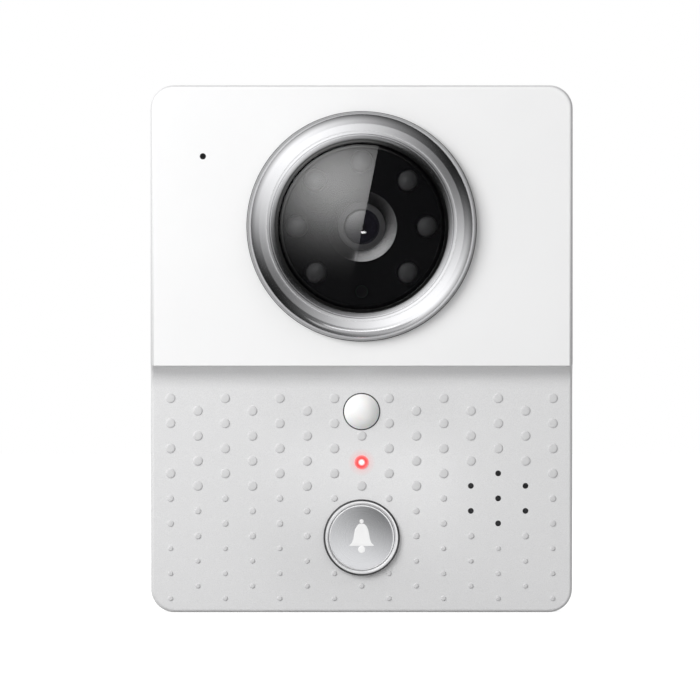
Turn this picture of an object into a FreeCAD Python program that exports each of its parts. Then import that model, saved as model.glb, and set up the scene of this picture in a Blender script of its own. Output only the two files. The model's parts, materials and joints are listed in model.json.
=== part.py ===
import FreeCAD, Part
import math
import os
import re
import Sketcher

# Video door intercom for a wall: a portrait case whose white upper half carries a camera behind
# a smoked dome, and whose dotted lower half carries a motion sensor, a status light, a call button
# and a speaker. All depths are measured from the wall, so a point at depth d has y = -d.
# X runs to the right and Z up as seen from the front, and the origin is the middle of the bracket
# on the wall.

doc = FreeCAD.newDocument("DoorIntercom")
sheet = doc.addObject("Spreadsheet::Sheet", "Sizes")
vector = FreeCAD.Vector

sizes = {
    # the case
    "caseWidth": 108,
    "caseHeight": 135,
    "cornerRadius": 6,
    "upperDepth": 25,
    "lowerDepth": 20.5,
    "stepDrop": 4.2,
    "stepHeight": 5.9,
    "panelRadius": 700,
    "edgeRound": 1,
    "coverWall": 2.2,
    "splitDepth": 9,
    "cutterRun": 5,
    # raised dots on the lower half
    "dotColumns": 7,
    "dotRows": 17,
    "dotSide": 5,
    "dotFoot": 3.56,
    "dotFirst": 2.48,
    "dotHeight": 0.28,
    "dotBig": 1.25,
    "dotMiddle": 0.85,
    "dotSmall": 0.65,
    "dotBigRows": 8,
    "dotMiddleRows": 4,
    "dotMargin": 0.3,
    # the rear housing and what joins it to the cover
    "rimGap": 0.3,
    "rimInset": 0.3,
    "housingWall": 2.2,
    "floorRear": 3,
    "floorThick": 2.2,
    "sealThick": 0.4,
    "sealWidth": 1.7,
    "sealInset": 0.4,
    "lipLength": 3,
    "lipThick": 1.2,
    "lipClearance": 0.15,
    "caseScrewInset": 7.5,
    "caseScrewRadius": 1.5,
    "caseScrewClear": 0.2,
    "caseScrewBite": 4.5,
    "caseHeadRadius": 2.8,
    "caseHeadHeight": 1.8,
    "caseHeadClear": 0.2,
    "caseSeatRise": 0.2,
    "caseBossRadius": 4.2,
    "coverBossRadius": 3.2,
    "pilotSpare": 0.4,
    # the small screws inside
    "smallScrewRadius": 1,
    "smallScrewClear": 0.1,
    "smallScrewLength": 4,
    "smallHeadRadius": 1.9,
    "smallHeadHeight": 1.4,
    "driveWidth": 0.4,
    "driveDepth": 0.7,
    "driveEdge": 0.8,
    # the wall bracket
    "bracketThick": 1.5,
    "bracketSide": 8,
    "bracketEnd": 9.5,
    "bracketCorner": 3,
    "cableWindowSide": 6,
    "cableWindowHeight": 36,
    "wallHoleRadius": 2.2,
    "wallHoleSide": 16,
    "wallHoleEnd": 16,
    "hookIn": 20,
    "hookWidth": 10,
    "hookDrop": 20.1,
    "hookThick": 1.4,
    "hookLip": 2.6,
    "hookLipThick": 1.2,
    "hookClear": 0.2,
    "hookLift": 4.8,
    "hookSide": 0.5,
    "tabWidth": 16,
    "tabThick": 1.5,
    "tabRise": 6.4,
    "tabReach": 7.2,
    "tabClear": 1,
    "securityDepth": 4.2,
    "securityRadius": 1.5,
    "securityClear": 0.1,
    "securityHeadRadius": 2.6,
    "securityHeadHeight": 1.2,
    "securityHeadClear": 0.3,
    "securityLength": 6.4,
    "securityRecess": 1.3,
    # the cable entry
    "grommetSide": 24,
    "grommetHole": 7,
    "grommetLip": 1.2,
    "grommetFlange": 1.1,
    "grommetBore": 3.5,
    "grommetSleeve": 1.2,
    # the camera's bezel ring, window and seal
    "cameraDrop": 0.25,
    "bezelRadius": 29.3,
    "bezelStand": 4.5,
    "bezelSkirt": 0.8,
    "crestIn": 3.4,
    "bezelOuterArc": 3.9,
    "bezelInnerArc": 4.5,
    "bandWidth": 5.85,
    "bezelBandStand": 3.5,
    "grooveWidth": 0.2,
    "grooveDepth": 0.4,
    "lipWidth": 1.25,
    "lipLedge": 1,
    "bezelLipStand": 2.6,
    "bezelLipSeat": 1.4,
    "spigotWall": 1.4,
    "spigotClear": 0.1,
    "windowClear": 0.2,
    "windowGap": 0.7,
    "windowShoulder": 0.5,
    "windowSag": 2.5,
    "windowWall": 1.5,
    "windowRim": 1.3,
    "windowSealThick": 0.8,
    "sealLap": 0.9,
    # the camera's mask, diodes and boards
    "maskPlate": 1.3,
    "flangeIn": 0.5,
    "maskFlangeThick": 1.5,
    "skirtIn": 0.4,
    "maskSkirtWall": 1.2,
    "maskSkirtLength": 3.1,
    "funnelRadius": 9.05,
    "funnelDepth": 2.6,
    "funnelNeck": 1,
    "funnelWall": 1.2,
    "bezelScrewStand": 1.8,
    "bezelScrewBite": 2.5,
    "diodeIn": 4.85,
    "diodeStep": 45,
    "diodeRadius": 2.8,
    "diodeClear": 0.1,
    "diodeFlange": 3.1,
    "diodeFlangeThick": 1,
    "diodeHeight": 6.7,
    "lightSensorRadius": 1.5,
    "lightSensorHeight": 3.6,
    "ringBoardThick": 1.6,
    "ringBoardBore": 8,
    "postIn": 3.7,
    "postRadius": 2.2,
    "boardLap": 3.25,
    "cameraBoardCorner": 2,
    "cameraBoardRear": 7.5,
    "cameraBoardThick": 1.6,
    "headerPitch": 2,
    "headerPins": 4,
    "headerPinRadius": 0.32,
    "headerIn": 4.6,
    # the lens
    "lensRadius": 6,
    "lensClear": 0.15,
    "lensStand": 0.3,
    "lensLength": 10.1,
    "lensBore": 3.5,
    "glassRadius": 4.6,
    "glassSeat": 1.5,
    "glassEdge": 0.6,
    "glassBulge": 0.7,
    "holderHalfLength": 12.5,
    "holderHalfHeight": 9,
    "holderWall": 1.6,
    "holderDepth": 3.5,
    "holderRoof": 1,
    "notchHalf": 4.2,
    "notchClear": 0.4,
    "towerWall": 1.4,
    "towerDepth": 16.2,
    "sensorWidth": 8,
    "sensorHeight": 7,
    "sensorThick": 0.8,
    # the day and night filter and its drive
    "filterTravel": 6.4,
    "filterHalfLength": 6.8,
    "filterHalfHeight": 4.5,
    "filterThick": 1,
    "filterRoofGap": 0.3,
    "filterPane": 5.4,
    "filterTab": 2.3,
    "filterTabHalf": 2,
    "filterInset": 0.2,
    "armLength": 9,
    "armThick": 0.5,
    "armHub": 1.4,
    "armWidth": 1.4,
    "armGap": 0.25,
    "armPinRadius": 0.5,
    "armPinClear": 0.15,
    "armShaft": 0.8,
    "armShaftClear": 0.05,
    "armShaftLength": 2.8,
    "motorRadius": 4.2,
    "motorLength": 3.6,
    "motorGap": 0.4,
    "motorFoot": 1.4,
    "motorFootAcross": 2.5,
    "motorFootDrop": 2.2,
    # the motion sensor and its white dome
    "motionDrop": 5.9,
    "motionRadius": 4.5,
    "motionClear": 0.1,
    "motionShoulder": 0.15,
    "motionSag": 2.3,
    "motionWall": 0.9,
    "motionFlange": 5.6,
    "motionFlangeThick": 1,
    "seatBite": 0.25,
    "seatClear": 0.1,
    "canBaseRadius": 4.6,
    "canBaseThick": 0.8,
    "canRadius": 4.1,
    "canHeight": 5.2,
    "canWindowHalf": 1.6,
    "canWindowDepth": 0.2,
    # the status light
    "statusLift": 0.55,
    "pipeRadius": 1.7,
    "pipeClear": 0.1,
    "pipeStand": 0.2,
    "pipeSag": 0.35,
    "pipeFlange": 2.6,
    "pipeFlangeThick": 1,
    "statusLampHalf": 1.6,
    "statusLampHeight": 1.8,
    "pipeLampGap": 0.3,
    # the call button
    "buttonRise": 19.2,
    "ringRadius": 9.7,
    "ringBore": 8.5,
    "ringStand": 1.15,
    "ringSink": 1.05,
    "ringRound": 0.5,
    "ringClear": 0.1,
    "barrelRadius": 9.2,
    "barrelClear": 0.1,
    "barrelTail": 2,
    "buttonBossRadius": 12.2,
    "nutRadius": 10.9,
    "nutThick": 1.6,
    "nutNotch": 1.2,
    "capClear": 0.08,
    "capSink": 0.4,
    "capDepth": 3.2,
    "capDish": 0.9,
    "capRim": 0.4,
    "capEdge": 0.25,
    "stemRadius": 2.5,
    "stemClear": 0.05,
    "stemTail": 0.4,
    "clipRadius": 3.8,
    "clipThick": 0.6,
    "clipGroove": 0.4,
    "clipGap": 0.2,
    "clipMouth": 3,
    "guideThick": 1,
    "springRadius": 4.4,
    "springWire": 0.22,
    "springTurns": 2,
    "buttonTravel": 0.5,
    "switchHalf": 3,
    "switchBody": 1.8,
    "switchPlunger": 1.7,
    "switchClear": 0.05,
    "switchWell": 0.6,
    "switchSpare": 0.1,
    # the main board and what sits on it
    "boardRear": 9,
    "boardThick": 1.6,
    "boardSide": 6,
    "boardGap": 0.3,
    "boardDrop": 1.8,
    "boardRise": 12.5,
    "boardCorner": 1.5,
    "boardScrewInset": 3.2,
    "boardBossRadius": 2.6,
    "processorSide": 15,
    "processorHeight": 1.4,
    "processorIn": 11,
    "radioWidth": 16,
    "radioHeight": 11,
    "radioDepth": 2.6,
    "radioIn": 2,
    "radioRise": 6.4,
    "relayWidth": 9,
    "relayHeight": 12,
    "relayDepth": 5.8,
    "relayDrop": 5,
    "capacitorRadius": 3.15,
    "capacitorHeight": 5.4,
    "capacitorBase": 0.8,
    "capacitorPitch": 8.5,
    "capacitorGap": 3.75,
    "capacitorDrop": 6,
    "terminalPitch": 3.5,
    "terminalWays": 8,
    "terminalHeight": 7.2,
    "terminalDepth": 5.6,
    "terminalIn": 15,
    "terminalDrop": 19,
    "terminalWell": 1.3,
    "terminalWellDepth": 3,
    "terminalWire": 1.1,
    "terminalEdge": 0.8,
    "terminalHeadHeight": 1.4,
    "windowMargin": 0.8,
    "tamperSide": 14,
    "tamperRise": 22,
    "tamperHalf": 3,
    "tamperBody": 2.8,
    "tamperPlunger": 1.4,
    "tamperClear": 0.4,
    "tamperFit": 0.05,
    "tamperTip": 0.15,
    "tamperBite": 1.2,
    "tamperTravel": 0.8,
    "socketWidth": 5,
    "socketHeight": 4,
    "socketDepth": 3.5,
    "socketDrop": 14,
    "socketShift": 1.75,
    "ribbonWidth": 14,
    "ribbonThick": 0.25,
    "ribbonSocketDepth": 1.1,
    "ribbonSocketHeight": 3,
    "ribbonSocketSide": 1,
    "ribbonEdge": 1,
    "ribbonStraight": 5,
    # the speaker and its grille
    "speakerEdge": 19,
    "speakerRow": 8,
    "grilleRadius": 0.75,
    "speakerSeat": 16.6,
    "speakerSeatInner": 12.6,
    "speakerSeatOuter": 14.6,
    "meshRadius": 14,
    "meshThick": 0.2,
    "gasketThick": 0.5,
    "frameFlange": 0.8,
    "frameMouth": 13,
    "frameFoot": 8.3,
    "frameDepth": 3.2,
    "frameWall": 0.8,
    "frameHole": 6.9,
    "frameHeel": 0.4,
    "frameShoulder": 12.7,
    "frameShoulderDrop": 0.7,
    "frameMouthDrop": 0.4,
    "tagReach": 12.4,
    "tagRoot": 9.6,
    "tagDepth": 1.4,
    "tagHalf": 1.6,
    "magnetRadius": 7.4,
    "magnetDisc": 2.3,
    "magnetGapOuter": 6.25,
    "magnetPole": 5,
    "magnetFloor": 0.8,
    "coneFormer": 5.75,
    "coneSkin": 0.25,
    "coneEdge": 11.2,
    "coneRoll": 1.1,
    "coneLift": 0.2,
    "coneFormerTail": 1.4,
    "coneCap": 1.1,
    "coneSink": 0.05,
    "retainerInner": 12.9,
    "retainerOuter": 15.4,
    "retainerThick": 1.2,
    "retainerReach": 17.6,
    "retainerEar": 2.9,
    "speakerBossRadius": 2.5,
    # the microphone
    "microphoneSide": 13.4,
    "microphoneDrop": 18.2,
    "microphoneHole": 0.8,
    "microphoneRadius": 3,
    "microphoneLength": 2.7,
    "bootWall": 1.1,
    "bootFront": 0.9,
    "bootLength": 4,
    "bootRingWall": 1.2,
    "bootRingLength": 3,
    # the leads
    "leadRadius": 0.45,
    "leadPitch": 1.3,
    "leadBend": 3,
    "leadDepth": 12.35,
}


def panelDepth(height, inset="0"):
    # Depth of the gently convex lower half at a height, or of a surface that far inside it
    return (
        f"(lowerDepth - panelRadius + sqrt((panelRadius - ({inset})) ^ 2"
        f" - (({height}) - panelTop) ^ 2))"
    )


# What follows from the sizes above, each written once
fits = {
    "halfWidth": "caseWidth / 2",
    "halfHeight": "caseHeight / 2",
    "cameraHeight": "(halfHeight - stepDrop) / 2 - cameraDrop",
    "motionHeight": "panelTop - motionDrop",
    "statusHeight": "(motionHeight - motionRadius + buttonHeight + ringRadius) / 2 + statusLift",
    "buttonHeight": "buttonRise - halfHeight",
    "microphoneAcross": "microphoneSide - halfWidth",
    "microphoneHeight": "halfHeight - microphoneDrop",
    "stepDepth": "upperDepth - lowerDepth",
    "coveRadius": "(stepDepth ^ 2 + stepHeight ^ 2) / (2 * stepDepth)",
    "coveCentre": "lowerDepth + coveRadius",
    "panelTop": "-stepDrop - stepHeight",
    "upperInner": "upperDepth - coverWall",
    "innerStep": "panelTop + sqrt((coveRadius + coverWall) ^ 2 - (coveCentre - upperInner) ^ 2)",
    "dotPitch": "(halfWidth - dotSide) / dotColumns",
    "dotRow": "(halfHeight + panelTop - dotFirst - dotFoot) / (dotRows - 1)",
    "cutterTop": "halfHeight + cutterRun",
    "cutterBottom": "-halfHeight - cutterRun",
    "housingFront": "splitDepth - sealThick",
    "floorFront": "floorRear + floorThick",
    "caseScrewX": "halfWidth - caseScrewInset",
    "caseScrewZ": "halfHeight - caseScrewInset",
    "caseSeat": "floorFront + caseSeatRise",
    "smallHole": "smallScrewRadius + smallScrewClear",
    "bracketWidth": "caseWidth - 2 * bracketSide",
    "bracketHeight": "caseHeight - 2 * bracketEnd",
    "cableWindowWidth": "bracketWidth - 2 * cableWindowSide",
    "wallHoleAcross": "bracketWidth - 2 * wallHoleSide",
    "wallHoleUp": "bracketHeight - 2 * wallHoleEnd",
    "hookAcross": "caseWidth - 2 * hookIn",
    "hookHeight": "halfHeight - hookDrop",
    "tabDrop": "halfHeight - tabRise",
    "grommetAcross": "halfWidth - grommetSide",
    "cameraBoardFront": "cameraBoardRear + cameraBoardThick",
    "bezelCrest": "bezelRadius - crestIn",
    "bezelBandInner": "bezelRadius - bandWidth",
    "bezelLipInner": "bezelBandInner - lipWidth",
    "spigotBore": "bezelLipInner + lipLedge",
    "spigotRadius": "spigotBore + spigotWall",
    "bezelScrewPitch": "spigotRadius + bezelScrewStand",
    "windowSeat": "upperDepth + bezelLipSeat",
    "windowEdge": "windowSeat + windowShoulder",
    "windowFlange": "spigotBore - windowClear",
    "windowRadius": "bezelLipInner - windowGap",
    "windowBore": "windowRadius - windowRim",
    "windowSealInner": "windowRadius - sealLap",
    "domeRadius": "(windowRadius ^ 2 + windowSag ^ 2) / (2 * windowSag)",
    "domeCentre": "windowEdge + windowSag - domeRadius",
    "maskFlange": "bezelRadius - flangeIn",
    "maskSkirt": "windowFlange - skirtIn",
    "maskFront": "upperDepth - windowSealThick",
    "maskRear": "upperInner - maskFlangeThick - maskSkirtLength",
    "flangeRear": "upperInner - maskFlangeThick",
    "funnelFloor": "maskFront - funnelDepth",
    "funnelBore": "lensRadius + lensClear",
    "ringBoardRear": "maskRear - ringBoardThick",
    "diodePitch": "windowRadius - diodeIn",
    "postPitch": "maskFlange - postIn",
    "postOffset": "postPitch * cos(45)",
    "cameraBoardHalf": "postOffset + boardLap",
    "headerOffset": "maskSkirt - headerIn",
    "lensFront": "funnelFloor + lensStand",
    "lensRear": "lensFront - lensLength",
    "holderFront": "cameraBoardFront + holderDepth",
    "holderRoofRear": "holderFront - holderRoof",
    "filterFront": "holderRoofRear - filterRoofGap",
    "filterRear": "filterFront - filterThick",
    "filterCentre": "filterTravel / 2",
    "filterSwing": "asin(filterCentre / armLength)",
    "pinHeight": "cameraHeight - filterHalfHeight - filterTab / 2",
    "armHeight": "pinHeight - armLength * cos(filterSwing)",
    "armFront": "filterRear - armGap",
    "motorRear": "armFront + motorGap",
    "boardFront": "boardRear + boardThick",
    "boardLeft": "boardSide - halfWidth",
    "boardRight": "nutRadius + boardGap + boardBossRadius + boardScrewInset",
    "boardTop": "-stepDrop - boardDrop",
    "boardBottom": "boardRise - halfHeight",
    "boardHoleLeft": "boardLeft + boardScrewInset",
    "boardHoleRight": "boardRight - boardScrewInset",
    "boardHoleTop": "boardTop - boardScrewInset",
    "boardHoleBottom": "boardBottom + boardScrewInset",
    "processorX": "boardLeft + processorIn",
    "processorZ": "(radioZ + radioHeight + capacitorZ - capacitorRadius - processorSide) / 2",
    "radioX": "boardLeft + radioIn",
    "radioZ": "boardBottom + radioRise",
    "relayX": "(statusLampHalf + boardRight - relayWidth) / 2",
    "relayZ": "statusHeight - relayDrop",
    "capacitorX": "-canBaseRadius - capacitorGap - capacitorRadius",
    "capacitorZ": "boardTop - capacitorDrop",
    "terminalLeft": "boardLeft + terminalIn",
    "terminalBottom": "boardTop - terminalDrop",
    "tamperAcross": "tamperSide - halfWidth",
    "tamperHeight": "boardBottom + tamperRise",
    "socketLeftZ": "boardTop - socketDrop",
    "socketRightX": "(nutRadius + speakerX - retainerOuter) / 2 - socketShift",
    "ringFront": "buttonPanel + ringStand",
    "ringSeat": "buttonPanel - ringSink",
    "buttonBossRear": "ringSeat - coverWall",
    "barrelRear": "buttonBossRear - barrelTail",
    "capFront": "ringFront - capSink",
    "capRear": "capFront - capDepth",
    "capRadius": "ringBore - capClear",
    "guideFront": "barrelRear + guideThick",
    "clipFront": "barrelRear - clipGap",
    "clipRear": "clipFront - clipThick",
    "stemRear": "clipRear - stemTail",
    "switchFront": "boardFront + switchBody",
    "speakerX": "halfWidth - speakerEdge",
    "speakerZ": "panelTop - dotFirst - speakerRow * dotRow",
    "meshRear": "speakerSeat - meshThick",
    "gasketRear": "meshRear - gasketThick",
    "frameRear": "gasketRear - frameFlange",
    "frameFloor": "gasketRear - frameDepth",
    "frameBase": "frameFloor - frameWall",
    "retainerRear": "frameRear - retainerThick",
    "bootRear": "upperInner - bootLength",
    "capsuleFront": "upperInner - bootFront",
    "capsuleRear": "capsuleFront - microphoneLength",
    "bootRadius": "microphoneRadius + bootWall",
    "tamperBodyRear": "boardRear - tamperBody",
    "securitySeat": "-halfHeight + rimInset + securityRecess",
    "terminalRight": "terminalLeft + terminalWays * terminalPitch",
    "motionPanel": panelDepth("motionHeight"),
    "motionSeat": panelDepth("motionHeight", "coverWall - seatBite"),
    "statusPanel": panelDepth("statusHeight"),
    "statusSeat": panelDepth("statusHeight", "coverWall - seatBite"),
    "buttonPanel": panelDepth("buttonHeight"),
}


def fillSheet():
    for row, (name, size) in enumerate(sizes.items(), 1):
        sheet.set(f"A{row}", name)
        sheet.set(f"B{row}", str(size))
        sheet.setAlias(f"B{row}", name)
    doc.recompute()


def expand(formula):
    # A formula in the names above becomes one in the cells of the sheet
    def swap(match):
        word = match.group(0)
        if word in fits:
            return "(" + expand(fits[word]) + ")"
        if word in sizes:
            return "Sizes." + word
        return word

    return re.sub(r"[A-Za-z]\w*", swap, str(formula))


def value(formula):
    return float(sheet.evalExpression(expand(formula)))


def bind(thing, prop, formula):
    thing.setExpression(prop, expand(formula))


def newBody(name):
    body = doc.addObject("PartDesign::Body", name)
    body.AllowCompound = True
    return body


def newSketch(body, role, x="0", y="0", z="0"):
    # A sketch on one of the body's own planes, moved by x and y in the plane and z along its normal
    sketch = body.newObject("Sketcher::SketchObject", body.Name + "Sketch")
    planes = [feature for feature in body.Origin.OriginFeatures if feature.Role == role]
    sketch.AttachmentSupport = [(planes[0], "")]
    sketch.MapMode = "FlatFace"
    bind(sketch, "AttachmentOffset.Base.x", x)
    bind(sketch, "AttachmentOffset.Base.y", y)
    bind(sketch, "AttachmentOffset.Base.z", z)
    return sketch


def pin(sketch, geometry, end, x, y):
    # Holds one point of a sketch at a bound place
    for kind, formula in (("DistanceX", x), ("DistanceY", y)):
        number = sketch.addConstraint(
            Sketcher.Constraint(kind, -1, 1, geometry, end, value(formula))
        )
        bind(sketch, f"Constraints[{number}]", formula)


def addCircle(sketch, x, y, radius):
    centre = vector(value(x), value(y), 0)
    geometry = sketch.addGeometry(Part.Circle(centre, vector(0, 0, 1), value(radius)))
    number = sketch.addConstraint(Sketcher.Constraint("Radius", geometry, value(radius)))
    bind(sketch, f"Constraints[{number}]", radius)
    pin(sketch, geometry, 3, x, y)


def arcBetween(start, end, radius, side):
    # The short arc between two points, its centre on the left (side 1) or right (side -1)
    chord = end - start
    reach = math.sqrt(max(radius * radius - chord.Length * chord.Length / 4, 0))
    left = vector(-chord.y, chord.x, 0)
    left.normalize()
    centre = (start + end) * 0.5 + left * (reach * side)
    first, last = (start, end) if side > 0 else (end, start)
    angles = [math.atan2(point.y - centre.y, point.x - centre.x) for point in (first, last)]
    circle = Part.Circle(centre, vector(0, 0, 1), radius)
    return Part.ArcOfCircle(circle, angles[0], angles[1])


def addLoop(sketch, points):
    # A closed loop of lines. A point with a radius and a side starts an arc instead of a line
    places = [vector(value(point[0]), value(point[1]), 0) for point in points]
    edges = []
    for number, point in enumerate(points):
        start = places[number]
        end = places[(number + 1) % len(points)]
        if len(point) == 2:
            geometry = sketch.addGeometry(Part.LineSegment(start, end))
            edges.append((geometry, 1, 2))
        else:
            arc = arcBetween(start, end, value(point[2]), point[3])
            geometry = sketch.addGeometry(arc)
            edges.append((geometry, 1, 2) if point[3] > 0 else (geometry, 2, 1))
            radius = sketch.addConstraint(
                Sketcher.Constraint("Radius", geometry, value(point[2]))
            )
            bind(sketch, f"Constraints[{radius}]", point[2])
    for number, point in enumerate(points):
        geometry, first, last = edges[number]
        before = edges[number - 1]
        sketch.addConstraint(
            Sketcher.Constraint("Coincident", before[0], before[2], geometry, first)
        )
        pin(sketch, geometry, first, point[0], point[1])


def addRectangle(sketch, x0, x1, y0, y1, corner=None):
    if corner is None:
        addLoop(sketch, [(x0, y0), (x1, y0), (x1, y1), (x0, y1)])
        return
    left, right = f"({x0}) + ({corner})", f"({x1}) - ({corner})"
    low, high = f"({y0}) + ({corner})", f"({y1}) - ({corner})"
    addLoop(sketch, [
        (left, y0), (right, y0, corner, 1),
        (x1, low), (x1, high, corner, 1),
        (right, y1), (left, y1, corner, 1),
        (x0, high), (x0, low, corner, 1),
    ])


def pad(body, sketch, length):
    feature = body.newObject("PartDesign::Pad", body.Name + "Pad")
    feature.Profile = sketch
    bind(feature, "Length", length)
    return feature


def slab(name, start, end, draw):
    # A plate between two depths. The draw function adds the loops, in x and z
    body = newBody(name)
    sketch = newSketch(body, "XZ_Plane", z=start)
    draw(sketch)
    pad(body, sketch, f"({end}) - ({start})")
    return body


def prism(name, left, right, points):
    # A bar across the object between two x values, its section given in depth and height
    body = newBody(name)
    sketch = newSketch(body, "YZ_Plane", z=left)
    addLoop(sketch, [(f"-({point[0]})", *point[1:]) for point in points])
    pad(body, sketch, f"({right}) - ({left})")
    return body


def turned(name, x, z, points):
    # A turned piece about an axis square to the wall, its section given in radius and depth
    body = newBody(name)
    sketch = newSketch(body, "XY_Plane", x=x, z=z)
    addLoop(sketch, [(point[0], f"-({point[1]})", *point[2:]) for point in points])
    feature = body.newObject("PartDesign::Revolution", name + "Turn")
    feature.Profile = sketch
    feature.ReferenceAxis = (sketch, ["V_Axis"])
    feature.Angle = 360
    return body


def rod(name, x, z, radius, start, end):
    # A round bar square to the wall between two depths
    bar = doc.addObject("Part::Cylinder", name)
    bar.Placement = FreeCAD.Placement(vector(), FreeCAD.Rotation(vector(1, 0, 0), 90))
    bind(bar, "Radius", radius)
    bind(bar, "Height", f"({end}) - ({start})")
    bind(bar, "Placement.Base.x", x)
    bind(bar, "Placement.Base.y", f"-({start})")
    bind(bar, "Placement.Base.z", z)
    return bar


def block(name, x0, x1, start, end, z0, z1):
    box = doc.addObject("Part::Box", name)
    bind(box, "Length", f"({x1}) - ({x0})")
    bind(box, "Width", f"({end}) - ({start})")
    bind(box, "Height", f"({z1}) - ({z0})")
    bind(box, "Placement.Base.x", x0)
    bind(box, "Placement.Base.y", f"-({end})")
    bind(box, "Placement.Base.z", z0)
    return box


def fuse(name, shapes):
    feature = doc.addObject("Part::MultiFuse", name)
    feature.Shapes = shapes
    return feature


def common(name, base, tool):
    feature = doc.addObject("Part::Common", name)
    feature.Base = base
    feature.Tool = tool
    return feature


def cut(name, base, tools):
    feature = doc.addObject("Part::Cut", name)
    feature.Base = base
    feature.Tool = tools[0] if len(tools) == 1 else fuse(name + "Tools", tools)
    return feature


def group(name, shapes):
    feature = doc.addObject("Part::Compound", name)
    feature.Links = shapes
    return feature


def caseOutline(inset):
    def draw(sketch):
        addRectangle(
            sketch,
            f"-halfWidth + ({inset})", f"halfWidth - ({inset})",
            f"-halfHeight + ({inset})", f"halfHeight - ({inset})",
            f"cornerRadius - ({inset})",
        )
    return draw


def coverProfile(front, step, cove, inset):
    # The cover's section: flat above, a hollow cove at the step, gently convex below
    bottom = panelDepth("cutterBottom", inset)
    return [
        ("0", "cutterTop"),
        ("0", "cutterBottom"),
        (bottom, "cutterBottom", f"panelRadius - ({inset})", -1),
        (f"lowerDepth - ({inset})", "panelTop", cove, 1),
        (front, step),
        (front, "cutterTop"),
    ]


def frontEdges(shape):
    # The edges round the front of the cover, where its sides meet its front faces
    names = []
    half, tall, corner = value("halfWidth"), value("halfHeight"), value("cornerRadius")
    for number, edge in enumerate(shape.Edges, 1):
        middle = edge.valueAt((edge.FirstParameter + edge.LastParameter) / 2)
        across = max(abs(middle.x) - (half - corner), 0)
        up = max(abs(middle.z) - (tall - corner), 0)
        onSide = abs(math.hypot(across, up) - corner) < 0.001
        forward = max(vertex.Y for vertex in edge.Vertexes) < -value("splitDepth") - 1
        if onSide and forward:
            names.append(f"Edge{number}")
    return names


def buildCoverShell():
    outer = common(
        "coverBlank",
        slab("coverOutline", "splitDepth", "upperDepth + cutterRun", caseOutline("0")),
        prism("coverSide", "-halfWidth - cutterRun", "halfWidth + cutterRun",
              coverProfile("upperDepth", "-stepDrop", "coveRadius", "0")),
    )
    doc.recompute()
    rounded = newBody("coverRounded")
    rounded.BaseFeature = outer
    doc.recompute()
    fillet = rounded.newObject("PartDesign::Fillet", "coverFillet")
    fillet.Base = (rounded.Group[0], frontEdges(rounded.Group[0].Shape))
    bind(fillet, "Radius", "edgeRound")
    hollow = common(
        "coverHollow",
        slab("hollowOutline", "splitDepth - 1", "upperDepth + cutterRun",
             caseOutline("coverWall")),
        prism("hollowSide", "-halfWidth - cutterRun", "halfWidth + cutterRun",
              coverProfile("upperInner", "innerStep", "coveRadius + coverWall", "coverWall")),
    )
    return cut("coverShell", rounded, [hollow])


pieces = []


def piece(label, feature):
    feature.Label = label
    pieces.append(feature)
    return feature


def fourPlaces(x, z):
    return [(f"{side}({x})", f"{end}({z})") for side in ("-", "") for end in ("-", "")]


def aroundCamera(pitch, angle):
    # A place round the lens, its angle in degrees from the right hand side
    return f"{pitch} * cos({angle})", f"cameraHeight + {pitch} * sin({angle})"


def tube(name, x, z, inner, outer, start, end):
    def draw(sketch):
        addCircle(sketch, x, z, outer)
        addCircle(sketch, x, z, inner)
    return slab(name, start, end, draw)


def post(name, x, depth, radius, z0, z1):
    # An upright round bar
    bar = doc.addObject("Part::Cylinder", name)
    bind(bar, "Radius", radius)
    bind(bar, "Height", f"({z1}) - ({z0})")
    bind(bar, "Placement.Base.x", x)
    bind(bar, "Placement.Base.y", f"-({depth})")
    bind(bar, "Placement.Base.z", z0)
    return bar


def screw(name, x, z, seat, head, headHeight, shank, length):
    # A screw driven from the rear, its head's front face at the seat, with a cross recess
    whole = fuse(name + "Blank", [
        rod(name + "Head", x, z, head, f"{seat} - {headHeight}", seat),
        rod(name + "Shank", x, z, shank, seat, f"{seat} + {length}"),
    ])
    half, reach = "driveWidth / 2", f"({head} - driveEdge)"
    start, end = f"{seat} - {headHeight}", f"{seat} - {headHeight} + driveDepth"
    return cut(name, whole, [
        block(name + "Cross", f"{x} - {reach}", f"{x} + {reach}", start, end,
              f"{z} - {half}", f"{z} + {half}"),
        block(name + "Slot", f"{x} - {half}", f"{x} + {half}", start, end,
              f"{z} - {reach}", f"{z} + {reach}"),
    ])


def smallScrew(name, x, z, seat, length="smallScrewLength"):
    return screw(name, x, z, seat, "smallHeadRadius", "smallHeadHeight", "smallScrewRadius", length)


def boardPlaces():
    columns = ("boardHoleLeft", "boardHoleRight")
    rows = ("boardHoleTop", "boardHoleBottom")
    return [(column, row) for column in columns for row in rows]


def retainerPlaces():
    return [("speakerX", f"speakerZ {sign} retainerReach") for sign in ("+", "-")]


def postPlaces():
    return [(x, f"cameraHeight + ({z})") for x, z in fourPlaces("postOffset", "postOffset")]


def bezelScrewPlaces():
    return [aroundCamera("bezelScrewPitch", f"{quarter} * 90") for quarter in range(4)]


def grillePlaces():
    # Seven holes on the dots' own lattice: one each in the odd rows, two in the rows between
    offsets = [(0, 0), (0, -2), (0, 2), (-1, -1), (1, -1), (-1, 1), (1, 1)]
    return [
        (f"speakerX + {column} * dotPitch", f"speakerZ - {row} * dotRow")
        for column, row in offsets
    ]


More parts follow.
